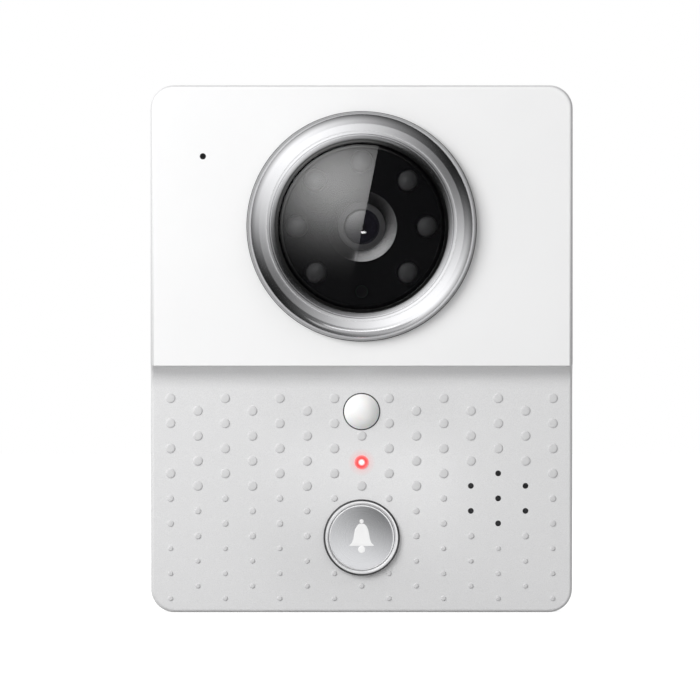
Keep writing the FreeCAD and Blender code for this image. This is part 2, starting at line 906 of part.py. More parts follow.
def dotPlaces():
    # The staggered lattice of dots, without those under the fittings and the speaker's holes
    first = value("panelTop - dotFirst")
    rows = int(value("dotRows"))
    columns = int(value("dotColumns"))
    big = int(value("dotBigRows"))
    middle = big + int(value("dotMiddleRows"))
    fittings = [
        (0, value("motionHeight"), value("motionRadius")),
        (0, value("statusHeight"), value("pipeRadius")),
        (0, value("buttonHeight"), value("ringRadius")),
    ]
    fittings += [(value(x), value(z), value("grilleRadius")) for x, z in grillePlaces()]
    bands = [("dotBig", 0, big), ("dotMiddle", big, middle), ("dotSmall", middle, rows)]
    places = {}
    for radius, start, end in bands:
        places[radius] = []
        for row in range(start, end):
            for column in range(-columns, columns + 1):
                if (column + row) % 2 == 0:
                    continue
                x, z = column * value("dotPitch"), first - row * value("dotRow")
                reach = value(radius) + value("dotMargin")
                if all(math.hypot(x - a, z - b) > size + reach for a, b, size in fittings):
                    spot = (f"{column} * dotPitch", f"panelTop - dotFirst - {row} * dotRow")
                    places[radius].append(spot)
    return places


def buildDots():
    # Round pins cut off by a curved layer that follows the panel and stands proud of it
    body = newBody("dotPins")
    for radius, places in dotPlaces().items():
        sketch = newSketch(body, "XZ_Plane", z="splitDepth")
        for x, z in places:
            addCircle(sketch, x, z, radius)
        pad(body, sketch, "upperDepth - splitDepth")
    layer = prism("dotLayer", "-halfWidth", "halfWidth", [
        (panelDepth("panelTop", "coverWall / 2"), "panelTop", "panelRadius - coverWall / 2", 1),
        (panelDepth("cutterBottom", "coverWall / 2"), "cutterBottom"),
        (panelDepth("cutterBottom", "-dotHeight"), "cutterBottom", "panelRadius + dotHeight", -1),
        (panelDepth("panelTop", "-dotHeight"), "panelTop"),
    ])
    return common("dots", body, layer)


def buildFrontCover():
    added = [buildCoverShell()]
    cutters = []
    for x, z in fourPlaces("caseScrewX", "caseScrewZ"):
        top = panelDepth(z, "coverWall / 2") if value(z) < 0 else "upperDepth - coverWall / 2"
        added.append(rod("coverBoss", x, z, "coverBossRadius", "splitDepth", top))
        cutters.append(rod("coverPilot", x, z, "caseScrewRadius", "splitDepth - cutterRun",
                           "splitDepth + caseScrewBite + pilotSpare"))
    for x, z in boardPlaces():
        top = panelDepth(z, "coverWall / 2")
        added.append(rod("boardBoss", x, z, "boardBossRadius", "boardFront", top))
        cutters.append(rod("boardPilot", x, z, "smallScrewRadius", "boardFront - cutterRun",
                           "boardRear + smallScrewLength + pilotSpare"))
    for x, z in retainerPlaces():
        top = panelDepth(z, "coverWall / 2")
        added.append(rod("speakerBoss", x, z, "speakerBossRadius", "frameRear", top))
        cutters.append(rod("speakerPilot", x, z, "smallScrewRadius", "frameRear - cutterRun",
                           "retainerRear + smallScrewLength + pilotSpare"))
    added.append(tube("speakerSeatRing", "speakerX", "speakerZ", "speakerSeatInner",
                      "speakerSeatOuter", "speakerSeat", panelDepth("speakerZ", "coverWall / 2")))
    added.append(tube("microphoneRing", "microphoneAcross", "microphoneHeight", "bootRadius",
                      "bootRadius + bootRingWall", "upperInner - bootRingLength",
                      "upperDepth - coverWall / 2"))
    added.append(rod("buttonBoss", "0", "buttonHeight", "buttonBossRadius", "buttonBossRear",
                     panelDepth("buttonHeight", "coverWall / 2")))
    solid = fuse("coverSolid", added)

    past = "upperDepth + cutterRun"
    cutters.append(rod("cameraHole", "0", "cameraHeight", "spigotRadius + spigotClear",
                       "flangeRear", past))
    for x, z in bezelScrewPlaces():
        cutters.append(rod("bezelScrewHole", x, z, "smallHole", "flangeRear", past))
    cutters.append(rod("motionHole", "0", "motionHeight", "motionRadius + motionClear",
                       "boardFront", past))
    cutters.append(rod("motionSeatCut", "0", "motionHeight", "motionFlange + seatClear",
                       "motionSeat - coverWall", "motionSeat"))
    cutters.append(rod("statusHole", "0", "statusHeight", "pipeRadius + pipeClear",
                       "boardFront", past))
    cutters.append(rod("statusSeatCut", "0", "statusHeight", "pipeFlange + seatClear",
                       "statusSeat - coverWall", "statusSeat"))
    cutters.append(rod("barrelHole", "0", "buttonHeight", "barrelRadius + barrelClear",
                       "boardFront", past))
    cutters.append(rod("ringRecess", "0", "buttonHeight", "ringRadius + ringClear",
                       "ringSeat", past))
    cutters.append(rod("microphoneHoleCut", "microphoneAcross", "microphoneHeight",
                       "microphoneHole", "upperInner - cutterRun", past))
    for x, z in grillePlaces():
        cutters.append(rod("grilleHole", x, z, "grilleRadius", "meshRear", past))
    holed = cut("coverHoled", solid, cutters)
    piece("front_cover", fuse("frontCover", [holed, buildDots()]))


def buildRearHousing():
    inner = "rimInset + housingWall"
    lipOuter = "coverWall + lipClearance"

    def lip(sketch):
        caseOutline(lipOuter)(sketch)
        caseOutline(f"{lipOuter} + lipThick")(sketch)

    added = [
        cut("housingTray", slab("housingBlank", "rimGap", "housingFront", caseOutline("rimInset")), [
            slab("housingHollow", "floorFront", "housingFront + cutterRun", caseOutline(inner)),
            slab("housingRecess", "rimGap - cutterRun", "floorRear", caseOutline(inner)),
        ]),
        slab("housingLip", "housingFront - lipThick", "splitDepth + lipLength", lip),
    ]
    cutters = []
    for x, z in fourPlaces("caseScrewX", "caseScrewZ"):
        added.append(rod("housingBoss", x, z, "caseBossRadius", "floorRear", "splitDepth"))
        cutters.append(rod("caseScrewHole", x, z, "caseScrewRadius + caseScrewClear",
                           "floorRear", "splitDepth + cutterRun"))
        cutters.append(rod("caseHeadHole", x, z, "caseHeadRadius + caseHeadClear",
                           "rimGap", "caseSeat"))
    for side in ("-", ""):
        centre = f"{side}hookAcross / 2"
        cutters.append(block("hookSlot", f"{centre} - hookWidth / 2 - hookSide",
                             f"{centre} + hookWidth / 2 + hookSide", "rimGap", "splitDepth",
                             "hookHeight - hookLift", "hookHeight"))
    cutters.append(block("tabWindow", "-tabWidth / 2 - tabClear", "tabWidth / 2 + tabClear",
                         "rimGap", "splitDepth", "-halfHeight + rimInset + housingWall",
                         "-tabDrop + tabClear"))
    cutters.append(block("terminalWindow", "terminalLeft - windowMargin",
                         "terminalRight + windowMargin", "rimGap", "splitDepth",
                         "terminalBottom - windowMargin",
                         "terminalBottom + terminalHeight + windowMargin"))
    cutters.append(rod("tamperHole", "tamperAcross", "tamperHeight",
                       "tamperPlunger + tamperClear", "rimGap", "splitDepth"))
    cutters.append(rod("grommetHoleCut", "grommetAcross", "0", "grommetHole",
                       "rimGap", "splitDepth"))
    cutters.append(post("securityHole", "0", "securityDepth", "securityRadius + securityClear",
                        "-halfHeight", "securitySeat + securityLength + securityClear"))
    cutters.append(post("securityHeadHole", "0", "securityDepth",
                        "securityHeadRadius + securityHeadClear",
                        "-halfHeight - cutterRun", "securitySeat"))
    piece("rear_housing", cut("rearHousing", fuse("housingSolid", added), cutters))


def buildCaseFittings():
    def ring(sketch):
        caseOutline("sealInset")(sketch)
        caseOutline("sealInset + sealWidth")(sketch)

    piece("housing_seal", slab("housingSeal", "housingFront", "splitDepth", ring))
    piece("case_screws", group("caseScrews", [
        screw("caseScrew", x, z, "caseSeat", "caseHeadRadius", "caseHeadHeight",
              "caseScrewRadius", "splitDepth - caseSeat + caseScrewBite")
        for x, z in fourPlaces("caseScrewX", "caseScrewZ")
    ]))
    piece("cable_grommet", turned("cableGrommet", "grommetAcross", "0", [
        ("grommetBore", "floorRear - grommetFlange"),
        ("grommetHole + grommetLip", "floorRear - grommetFlange"),
        ("grommetHole + grommetLip", "floorRear"),
        ("grommetHole", "floorRear"),
        ("grommetHole", "floorFront"),
        ("grommetHole + grommetLip", "floorFront"),
        ("grommetHole + grommetLip", "floorFront + grommetFlange"),
        ("grommetBore + grommetSleeve", "floorFront + 2 * grommetFlange"),
        ("grommetBore", "floorFront + 2 * grommetFlange"),
    ]))


def buildBracket():
    def plate(sketch):
        addRectangle(sketch, "-bracketWidth / 2", "bracketWidth / 2", "-bracketHeight / 2",
                     "bracketHeight / 2", "bracketCorner")
        addRectangle(sketch, "-cableWindowWidth / 2", "cableWindowWidth / 2",
                     "-cableWindowHeight / 2", "cableWindowHeight / 2", "bracketCorner")
        for x, z in fourPlaces("wallHoleAcross / 2", "wallHoleUp / 2"):
            addCircle(sketch, x, z, "wallHoleRadius")

    added = [slab("bracketPlate", "0", "bracketThick", plate)]
    lipRear = "floorFront + hookClear"
    for side in ("-", ""):
        left = f"{side}hookAcross / 2 - hookWidth / 2"
        right = f"{side}hookAcross / 2 + hookWidth / 2"
        added.append(block("hookLeg", left, right, "0", f"{lipRear} + hookLipThick",
                           "hookHeight - hookThick", "hookHeight"))
        added.append(block("hookLipBar", left, right, lipRear, f"{lipRear} + hookLipThick",
                           "hookHeight - hookThick", "hookHeight + hookLip"))
    added.append(block("tabStem", "-tabWidth / 2", "tabWidth / 2", "0", "bracketThick",
                       "-tabDrop - tabThick", "-bracketHeight / 2 + bracketCorner"))
    added.append(block("tab", "-tabWidth / 2", "tabWidth / 2", "0", "tabReach",
                       "-tabDrop - tabThick", "-tabDrop"))
    hole = post("tabHole", "0", "securityDepth", "securityRadius", "-halfHeight", "0")
    piece("wall_bracket", cut("wallBracket", fuse("bracketSolid", added), [hole]))

    blank = fuse("securityBlank", [
        post("securityHead", "0", "securityDepth", "securityHeadRadius",
             "securitySeat - securityHeadHeight", "securitySeat"),
        post("securityShank", "0", "securityDepth", "securityRadius", "securitySeat",
             "securitySeat + securityLength"),
    ])
    drive = post("securityDrive", "0", "securityDepth", "securityRadius - driveWidth",
                 "-halfHeight", "securitySeat - securityHeadHeight + driveDepth")
    piece("security_screw", cut("securityScrew", blank, [drive]))


def buildCameraFront():
    ring = turned("bezelTurned", "0", "cameraHeight", [
        ("spigotRadius", "upperInner"),
        ("spigotRadius", "upperDepth"),
        ("bezelRadius", "upperDepth"),
        ("bezelRadius", "upperDepth + bezelSkirt", "bezelOuterArc", -1),
        ("bezelCrest", "upperDepth + bezelStand", "bezelInnerArc", -1),
        ("bezelBandInner", "upperDepth + bezelBandStand"),
        ("bezelBandInner", "upperDepth + bezelBandStand - grooveDepth"),
        ("bezelBandInner - grooveWidth", "upperDepth + bezelBandStand - grooveDepth"),
        ("bezelBandInner - grooveWidth", "upperDepth + bezelBandStand"),
        ("bezelLipInner", "upperDepth + bezelLipStand"),
        ("bezelLipInner", "windowSeat"),
        ("spigotBore", "windowSeat"),
        ("spigotBore", "upperInner"),
    ])
    pilots = [
        rod("bezelPilot", x, z, "smallScrewRadius", "flangeRear",
            "upperDepth + bezelScrewBite + pilotSpare")
        for x, z in bezelScrewPlaces()
    ]
    piece("camera_bezel", cut("cameraBezel", ring, pilots))
    piece("bezel_screws", group("bezelScrews", [
        smallScrew("bezelScrew", x, z, "flangeRear", "maskFlangeThick + coverWall + bezelScrewBite")
        for x, z in bezelScrewPlaces()
    ]))
    innerEdge = "domeCentre + sqrt((domeRadius - windowWall) ^ 2 - windowBore ^ 2)"
    piece("camera_window", turned("cameraWindow", "0", "cameraHeight", [
        ("windowBore", "upperDepth"),
        ("windowFlange", "upperDepth"),
        ("windowFlange", "windowSeat"),
        ("windowRadius", "windowSeat"),
        ("windowRadius", "windowEdge", "domeRadius", -1),
        ("0", "windowEdge + windowSag"),
        ("0", "windowEdge + windowSag - windowWall", "domeRadius - windowWall", 1),
        ("windowBore", innerEdge),
    ]))
    piece("window_seal", tube("windowSeal", "0", "cameraHeight", "windowSealInner",
                              "windowFlange", "maskFront", "upperDepth"))


def buildCameraHousing():
    inner = "maskSkirt - maskSkirtWall"
    shell = turned("maskTurned", "0", "cameraHeight", [
        ("maskFlange", "flangeRear"),
        ("maskFlange", "upperInner"),
        ("windowFlange", "upperInner"),
        ("windowFlange", "maskFront"),
        ("funnelRadius", "maskFront"),
        ("funnelBore", "funnelFloor"),
        ("funnelBore", "funnelFloor - funnelNeck"),
        ("funnelBore + funnelWall", "funnelFloor - funnelNeck"),
        ("funnelRadius + funnelWall", "maskFront - maskPlate"),
        (inner, "maskFront - maskPlate"),
        (inner, "maskRear"),
        ("maskSkirt", "maskRear"),
        ("maskSkirt", "flangeRear"),
    ])
    posts = [
        rod("cameraPost", x, z, "postRadius", "cameraBoardFront", "flangeRear")
        for x, z in postPlaces()
    ]
    holes = [
        rod("postPilot", x, z, "smallScrewRadius", "cameraBoardFront - cutterRun",
            "cameraBoardRear + smallScrewLength + pilotSpare")
        for x, z in postPlaces()
    ]
    for x, z in bezelScrewPlaces():
        holes.append(rod("flangeHole", x, z, "smallHole", "flangeRear - cutterRun",
                         "upperInner + cutterRun"))
    for number in range(1, 8):
        x, z = aroundCamera("diodePitch", f"-90 + {number} * diodeStep")
        holes.append(rod("diodeHole", x, z, "diodeRadius + diodeClear", "maskRear",
                         "maskFront + cutterRun"))
    holes.append(rod("sensorHole", *aroundCamera("diodePitch", "-90"),
                     "lightSensorRadius + diodeClear", "maskRear", "maskFront + cutterRun"))
    piece("camera_mask", cut("cameraMask", fuse("maskSolid", [shell] + posts), holes))


def buildDiodes():
    # Seven diodes an eighth of a turn apart. The eighth place, at the bottom, has the sensor
    x, z = aroundCamera("diodePitch", "diodeStep - 90")
    body = turned("diodes", x, z, [
        ("0", "maskRear"),
        ("diodeFlange", "maskRear"),
        ("diodeFlange", "maskRear + diodeFlangeThick"),
        ("diodeRadius", "maskRear + diodeFlangeThick"),
        ("diodeRadius", "maskRear + diodeHeight - diodeRadius", "diodeRadius", -1),
        ("0", "maskRear + diodeHeight"),
    ])
    hub = newSketch(body, "XZ_Plane", y="cameraHeight")
    ring = body.newObject("PartDesign::PolarPattern", "diodeRing")
    ring.Originals = [doc.getObject("diodesTurn")]
    ring.Axis = (hub, ["N_Axis"])
    bind(ring, "Angle", "6 * diodeStep")
    ring.Occurrences = 7
    body.Tip = ring
    piece("infrared_leds", body)

    x, z = aroundCamera("diodePitch", "-90")
    piece("light_sensor", rod("lightSensor", x, z, "lightSensorRadius", "maskRear",
                              "maskRear + lightSensorHeight"))
    piece("led_ring_board", tube("ledRingBoard", "0", "cameraHeight", "ringBoardBore",
                                 "maskSkirt", "ringBoardRear", "maskRear"))
    pins = []
    for number in range(int(value("headerPins"))):
        x = f"({number} - (headerPins - 1) / 2) * headerPitch"
        pins.append(rod("headerPin", x, "cameraHeight + headerOffset", "headerPinRadius",
                        "cameraBoardFront", "ringBoardRear"))
    piece("led_board_pins", group("ledBoardPins", pins))


def buildLens():
    piece("lens_barrel", turned("lensBarrel", "0", "cameraHeight", [
        ("lensBore", "lensRear"),
        ("lensRadius", "lensRear"),
        ("lensRadius", "lensFront"),
        ("glassRadius", "lensFront"),
        ("glassRadius", "lensFront - glassSeat"),
        ("lensBore", "lensFront - glassSeat"),
    ]))
    bulge = "(glassRadius ^ 2 + glassBulge ^ 2) / (2 * glassBulge)"
    seat = "lensFront - glassSeat"
    piece("lens_glass", turned("lensGlass", "0", "cameraHeight", [
        ("0", seat),
        ("glassRadius", seat),
        ("glassRadius", f"{seat} + glassEdge", bulge, -1),
        ("0", f"{seat} + glassEdge + glassBulge"),
    ]))
    length, height = "holderHalfLength", "holderHalfHeight"
    base = fuse("holderBlank", [
        block("holderBase", f"-{length}", length, "cameraBoardFront", "holderFront",
              f"cameraHeight - {height}", f"cameraHeight + {height}"),
        rod("holderTower", "0", "cameraHeight", "lensRadius + towerWall", "cameraBoardFront",
            "towerDepth"),
    ])
    piece("lens_holder", cut("lensHolder", base, [
        block("holderHollow", f"-{length} + holderWall", f"{length} - holderWall",
              "cameraBoardFront - cutterRun", "holderRoofRear",
              f"cameraHeight - {height} + holderWall", f"cameraHeight + {height} - holderWall"),
        rod("holderBore", "0", "cameraHeight", "lensRadius", "cameraBoardFront", "upperDepth"),
        block("armNotch", "-notchHalf", "notchHalf", "cameraBoardFront - cutterRun",
              "armFront + notchClear", f"cameraHeight - {height} - cutterRun",
              f"cameraHeight - {height} + holderWall"),
    ]))
    piece("image_sensor", block("imageSensor", "-sensorWidth / 2", "sensorWidth / 2",
                                "cameraBoardFront", "cameraBoardFront + sensorThick",
                                "cameraHeight - sensorHeight / 2",
                                "cameraHeight + sensorHeight / 2"))

    def board(sketch):
        half = "cameraBoardHalf"
        addRectangle(sketch, f"-{half}", half, f"cameraHeight - {half}",
                     f"cameraHeight + {half}", "cameraBoardCorner")
        for x, z in postPlaces():
            addCircle(sketch, x, z, "smallHole")

    piece("camera_board", slab("cameraBoard", "cameraBoardRear", "cameraBoardFront", board))


def buildFilter():
    # The carrier slides sideways behind the lens and holds two panes, the tinted one for daylight
    # and a clear one for the night. A swinging arm with a pin in the carrier's slot moves it.
    def paneAt(sketch, sign):
        middle = f"filterCentre {sign} filterCentre"
        addRectangle(sketch, f"{middle} - filterPane / 2", f"{middle} + filterPane / 2",
                     "cameraHeight - filterPane / 2", "cameraHeight + filterPane / 2")

    def carrier(sketch):
        low = "cameraHeight - filterHalfHeight"
        left, right = "filterCentre - filterHalfLength", "filterCentre + filterHalfLength"
        tabLeft, tabRight = "filterCentre - filterTabHalf", "filterCentre + filterTabHalf"
        addLoop(sketch, [
            (left, low), (tabLeft, low), (tabLeft, f"{low} - filterTab"),
            (tabRight, f"{low} - filterTab"), (tabRight, low), (right, low),
            (right, "cameraHeight + filterHalfHeight"), (left, "cameraHeight + filterHalfHeight"),
        ])
        half = "(armPinRadius + armPinClear)"
        addRectangle(sketch, f"filterCentre - {half}", f"filterCentre + {half}",
                     f"pinHeight - {half}", f"armHeight + armLength + {half}")
        paneAt(sketch, "-")
        paneAt(sketch, "+")

    def panes(sketch):
        paneAt(sketch, "-")
        paneAt(sketch, "+")

    piece("filter_carrier", slab("filterCarrier", "filterRear", "filterFront", carrier))
    piece("filter_panes", slab("filterPanes", "filterRear + filterInset",
                               "filterFront - filterInset", panes))

    def arm(sketch):
        # A bar from the shaft to the pin, leaning by the swing
        acrossX, acrossZ = "armWidth / 2 * cos(filterSwing)", "armWidth / 2 * sin(filterSwing)"
        addLoop(sketch, [
            (f"-{acrossX}", f"armHeight + {acrossZ}"),
            (acrossX, f"armHeight - {acrossZ}"),
            (f"filterCentre + {acrossX}", f"pinHeight - {acrossZ}"),
            (f"filterCentre - {acrossX}", f"pinHeight + {acrossZ}"),
        ])

    rear = "armFront - armThick"
    piece("filter_arm", fuse("filterArm", [
        slab("armBar", rear, "armFront", arm),
        rod("armHubDisc", "0", "armHeight", "armHub", rear, "armFront"),
        rod("armEnd", "filterCentre", "pinHeight", "armWidth / 2", rear, "armFront"),
        rod("armPin", "filterCentre", "pinHeight", "armPinRadius", rear,
            "filterFront - filterInset"),
        rod("armShaftBar", "0", "armHeight", "armShaft", rear, "motorRear + armShaftLength"),
    ]))
    feet = [
        block("motorFootBlock", f"{side} - motorFoot / 2", f"{side} + motorFoot / 2",
              "cameraBoardFront", "motorRear + motorGap", "armHeight - motorFootDrop - motorFoot",
              "armHeight - motorFootDrop")
        for side in ("-motorFootAcross", "motorFootAcross")
    ]
    can = rod("motorCan", "0", "armHeight", "motorRadius", "motorRear", "motorRear + motorLength")
    bore = rod("motorBore", "0", "armHeight", "armShaft + armShaftClear",
               "motorRear - cutterRun", "motorRear + armShaftLength + armShaftClear")
    piece("filter_motor", fuse("filterMotor", [cut("motorDrilled", can, [bore])] + feet))


def buildMotionSensor():
    bore = "motionRadius - motionWall"
    shoulder = "motionPanel + motionShoulder"
    crown = "(motionRadius ^ 2 + motionSag ^ 2) / (2 * motionSag)"
    centre = f"({shoulder} + motionSag - {crown})"
    piece("motion_dome", turned("motionDome", "0", "motionHeight", [
        (bore, "motionSeat - motionFlangeThick"),
        ("motionFlange", "motionSeat - motionFlangeThick"),
        ("motionFlange", "motionSeat"),
        ("motionRadius", "motionSeat"),
        ("motionRadius", shoulder, crown, -1),
        ("0", f"{shoulder} + motionSag"),
        ("0", f"{shoulder} + motionSag - motionWall", f"{crown} - motionWall", 1),
        (bore, f"{centre} + sqrt(({crown} - motionWall) ^ 2 - ({bore}) ^ 2)"),
    ]))
    can = fuse("canBlank", [
        rod("canBase", "0", "motionHeight", "canBaseRadius", "boardFront",
            "boardFront + canBaseThick"),
        rod("canBody", "0", "motionHeight", "canRadius", "boardFront", "boardFront + canHeight"),
    ])
    window = block("canWindow", "-canWindowHalf", "canWindowHalf",
                   "boardFront + canHeight - canWindowDepth", "upperDepth",
                   "motionHeight - canWindowHalf", "motionHeight + canWindowHalf")
    piece("motion_sensor", cut("motionSensor", can, [window]))


def buildStatusLight():
    tip = "statusPanel + pipeStand"
    crown = "(pipeRadius ^ 2 + pipeSag ^ 2) / (2 * pipeSag)"
    piece("status_light_pipe", turned("lightPipe", "0", "statusHeight", [
        ("0", "boardFront + statusLampHeight + pipeLampGap"),
        ("pipeRadius", "boardFront + statusLampHeight + pipeLampGap"),
        ("pipeRadius", "statusSeat - pipeFlangeThick"),
        ("pipeFlange", "statusSeat - pipeFlangeThick"),
        ("pipeFlange", "statusSeat"),
        ("pipeRadius", "statusSeat"),
        ("pipeRadius", tip, crown, -1),
        ("0", f"{tip} + pipeSag"),
    ]))
    piece("status_led", block("statusLamp", "-statusLampHalf", "statusLampHalf", "boardFront",
                              "boardFront + statusLampHeight", "statusHeight - statusLampHalf",
                              "statusHeight + statusLampHalf"))


def buildButton():
    piece("button_ring", turned("buttonRing", "0", "buttonHeight", [
        ("ringBore", "barrelRear"),
        ("barrelRadius", "barrelRear"),
        ("barrelRadius", "ringSeat"),
        ("ringRadius", "ringSeat"),
        ("ringRadius", "ringFront - ringRound", "ringRound", -1),
        ("ringRadius - ringRound", "ringFront"),
        ("ringBore + ringRound", "ringFront", "ringRound", -1),
        ("ringBore", "ringFront - ringRound"),
    ]))
    nut = tube("nutBlank", "0", "buttonHeight", "barrelRadius", "nutRadius",
               "buttonBossRear - nutThick", "buttonBossRear")
    reach = "(nutRadius - nutNotch / 2)"
    notches = [
        rod("nutNotchCut", f"{reach} * cos({quarter} * 90 + 45)",
            f"buttonHeight + {reach} * sin({quarter} * 90 + 45)", "nutNotch / 2 + capEdge",
            "boardFront", "buttonBossRear - nutThick / 2")
        for quarter in range(4)
    ]
    piece("button_nut", cut("buttonNut", nut, notches))

    dishEdge = "(capRadius - capRim)"
    piece("call_button", turned("callButton", "0", "buttonHeight", [
        ("0", "stemRear"),
        ("stemRadius", "stemRear"),
        ("stemRadius", "clipRear"),
        ("stemRadius - clipGroove", "clipRear"),
        ("stemRadius - clipGroove", "clipFront"),
        ("stemRadius", "clipFront"),
        ("stemRadius", "capRear"),
        ("capRadius", "capRear"),
        ("capRadius", "capFront - capEdge", "capEdge", -1),
        ("capRadius - capEdge", "capFront"),
        (dishEdge, "capFront", f"({dishEdge} ^ 2 + capDish ^ 2) / (2 * capDish)", 1),
        ("0", "capFront - capDish"),
    ]))
    clip = tube("clipBlank", "0", "buttonHeight", "stemRadius - clipGroove", "clipRadius",
                "clipRear", "clipFront")
    mouth = block("clipMouthCut", "-clipMouth / 2", "clipMouth / 2", "boardFront",
                  "upperDepth", "buttonHeight - clipRadius - cutterRun", "buttonHeight")
    piece("button_clip", cut("buttonClip", clip, [mouth]))
    piece("button_guide", tube("buttonGuide", "0", "buttonHeight", "stemRadius + stemClear",
                               "ringBore", "barrelRear", "guideFront"))

    spring = newBody("buttonSpring")
    wire = newSketch(spring, "XY_Plane", z="buttonHeight")
    addCircle(wire, "springRadius", "-(guideFront + springWire)", "springWire")
    coil = spring.newObject("PartDesign::AdditiveHelix", "springCoil")
    coil.Profile = wire
    coil.ReferenceAxis = (wire, ["V_Axis"])
    coil.Mode = "height-turns-angle"
    coil.Reversed = True
    bind(coil, "Height", "capRear - guideFront - 2 * springWire")
    bind(coil, "Turns", "springTurns")
    piece("button_spring", spring)

    body = block("switchBlock", "-switchHalf", "switchHalf", "boardFront", "switchFront",
                 "buttonHeight - switchHalf", "buttonHeight + switchHalf")
    well = rod("switchWellCut", "0", "buttonHeight", "switchPlunger + switchClear",
               "switchFront - switchWell - buttonTravel - switchSpare", "switchFront + cutterRun")
    piece("call_switch", cut("callSwitch", body, [well]))
    piece("call_switch_plunger", rod("callSwitchPlunger", "0", "buttonHeight", "switchPlunger",
                                     "switchFront - switchWell", "stemRear"))


def buildMainBoard():
    def board(sketch):
        addRectangle(sketch, "boardLeft", "boardRight", "boardBottom", "boardTop", "boardCorner")
        for x, z in boardPlaces():
            addCircle(sketch, x, z, "smallHole")

    piece("main_board", slab("mainBoard", "boardRear", "boardFront", board))
    piece("board_screws", group("boardScrews", [
        smallScrew("boardScrew", x, z, seat)
        for seat, places in (
            ("boardRear", boardPlaces()),
            ("cameraBoardRear", postPlaces()),
            ("retainerRear", retainerPlaces()),
        )
        for x, z in places
    ]))
    piece("processor", block("processorChip", "processorX", "processorX + processorSide",
                             "boardFront", "boardFront + processorHeight", "processorZ",
                             "processorZ + processorSide"))
    piece("wireless_module", block("wirelessModule", "radioX", "radioX + radioWidth",
                                   "boardFront", "boardFront + radioDepth", "radioZ",
                                   "radioZ + radioHeight"))
    piece("door_relay", block("doorRelay", "relayX", "relayX + relayWidth", "boardFront",
                              "boardFront + relayDepth", "relayZ", "relayZ + relayHeight"))
    cans = []
    for number in range(3):
        x = f"capacitorX - {number} * capacitorPitch"
        cans.append(fuse("capacitor", [
            rod("capacitorCan", x, "capacitorZ", "capacitorRadius", "boardFront",
                "boardFront + capacitorHeight"),
            block("capacitorFoot", f"{x} - capacitorRadius", f"{x} + capacitorRadius",
                  "boardFront", "boardFront + capacitorBase", "capacitorZ - capacitorRadius",
                  "capacitorZ + capacitorRadius"),
        ]))
    piece("capacitors", group("capacitorGroup", cans))


def buildTerminals():
    rear = "boardRear - terminalDepth"
    body = block("terminalBlank", "terminalLeft", "terminalRight", rear, "boardRear",
                 "terminalBottom", "terminalBottom + terminalHeight")
    cutters = []
    screws = []
    row = "terminalBottom + terminalHeight - terminalWell - terminalEdge"
    for way in range(int(value("terminalWays"))):
        x = f"terminalLeft + ({way} + 0.5) * terminalPitch"
        cutters.append(rod("terminalWellCut", x, row, "terminalWell", rear,
                           f"{rear} + terminalWellDepth"))
        cutters.append(post("terminalWireCut", x, "boardRear - terminalWire - terminalEdge",
                            "terminalWire", "terminalBottom", row))
        head = rod("terminalHead", x, row, "terminalWell",
                   f"{rear} + terminalWellDepth - terminalHeadHeight",
                   f"{rear} + terminalWellDepth")
        slot = block("terminalSlot", f"{x} - terminalWell", f"{x} + terminalWell", rear,
                     f"{rear} + terminalWellDepth - terminalHeadHeight + driveWidth",
                     f"{row} - driveWidth / 2", f"{row} + driveWidth / 2")
        screws.append(cut("terminalScrew", head, [slot]))
    piece("terminal_block", cut("terminalBlock", body, cutters))
    piece("terminal_screws", group("terminalScrews", screws))


def buildTamper():
    end = "tamperBodyRear + tamperBite"
    body = block("tamperBlank", "tamperAcross - tamperHalf", "tamperAcross + tamperHalf",
                 "tamperBodyRear", "boardRear", "tamperHeight - tamperHalf",
                 "tamperHeight + tamperHalf")
    well = rod("tamperWell", "tamperAcross", "tamperHeight", "tamperPlunger + tamperFit",
               "tamperBodyRear - cutterRun", f"{end} + tamperTravel + switchSpare")
    piece("tamper_switch", cut("tamperSwitch", body, [well]))
    piece("tamper_plunger", rod("tamperPin", "tamperAcross", "tamperHeight", "tamperPlunger",
                                "bracketThick + tamperTip", end))


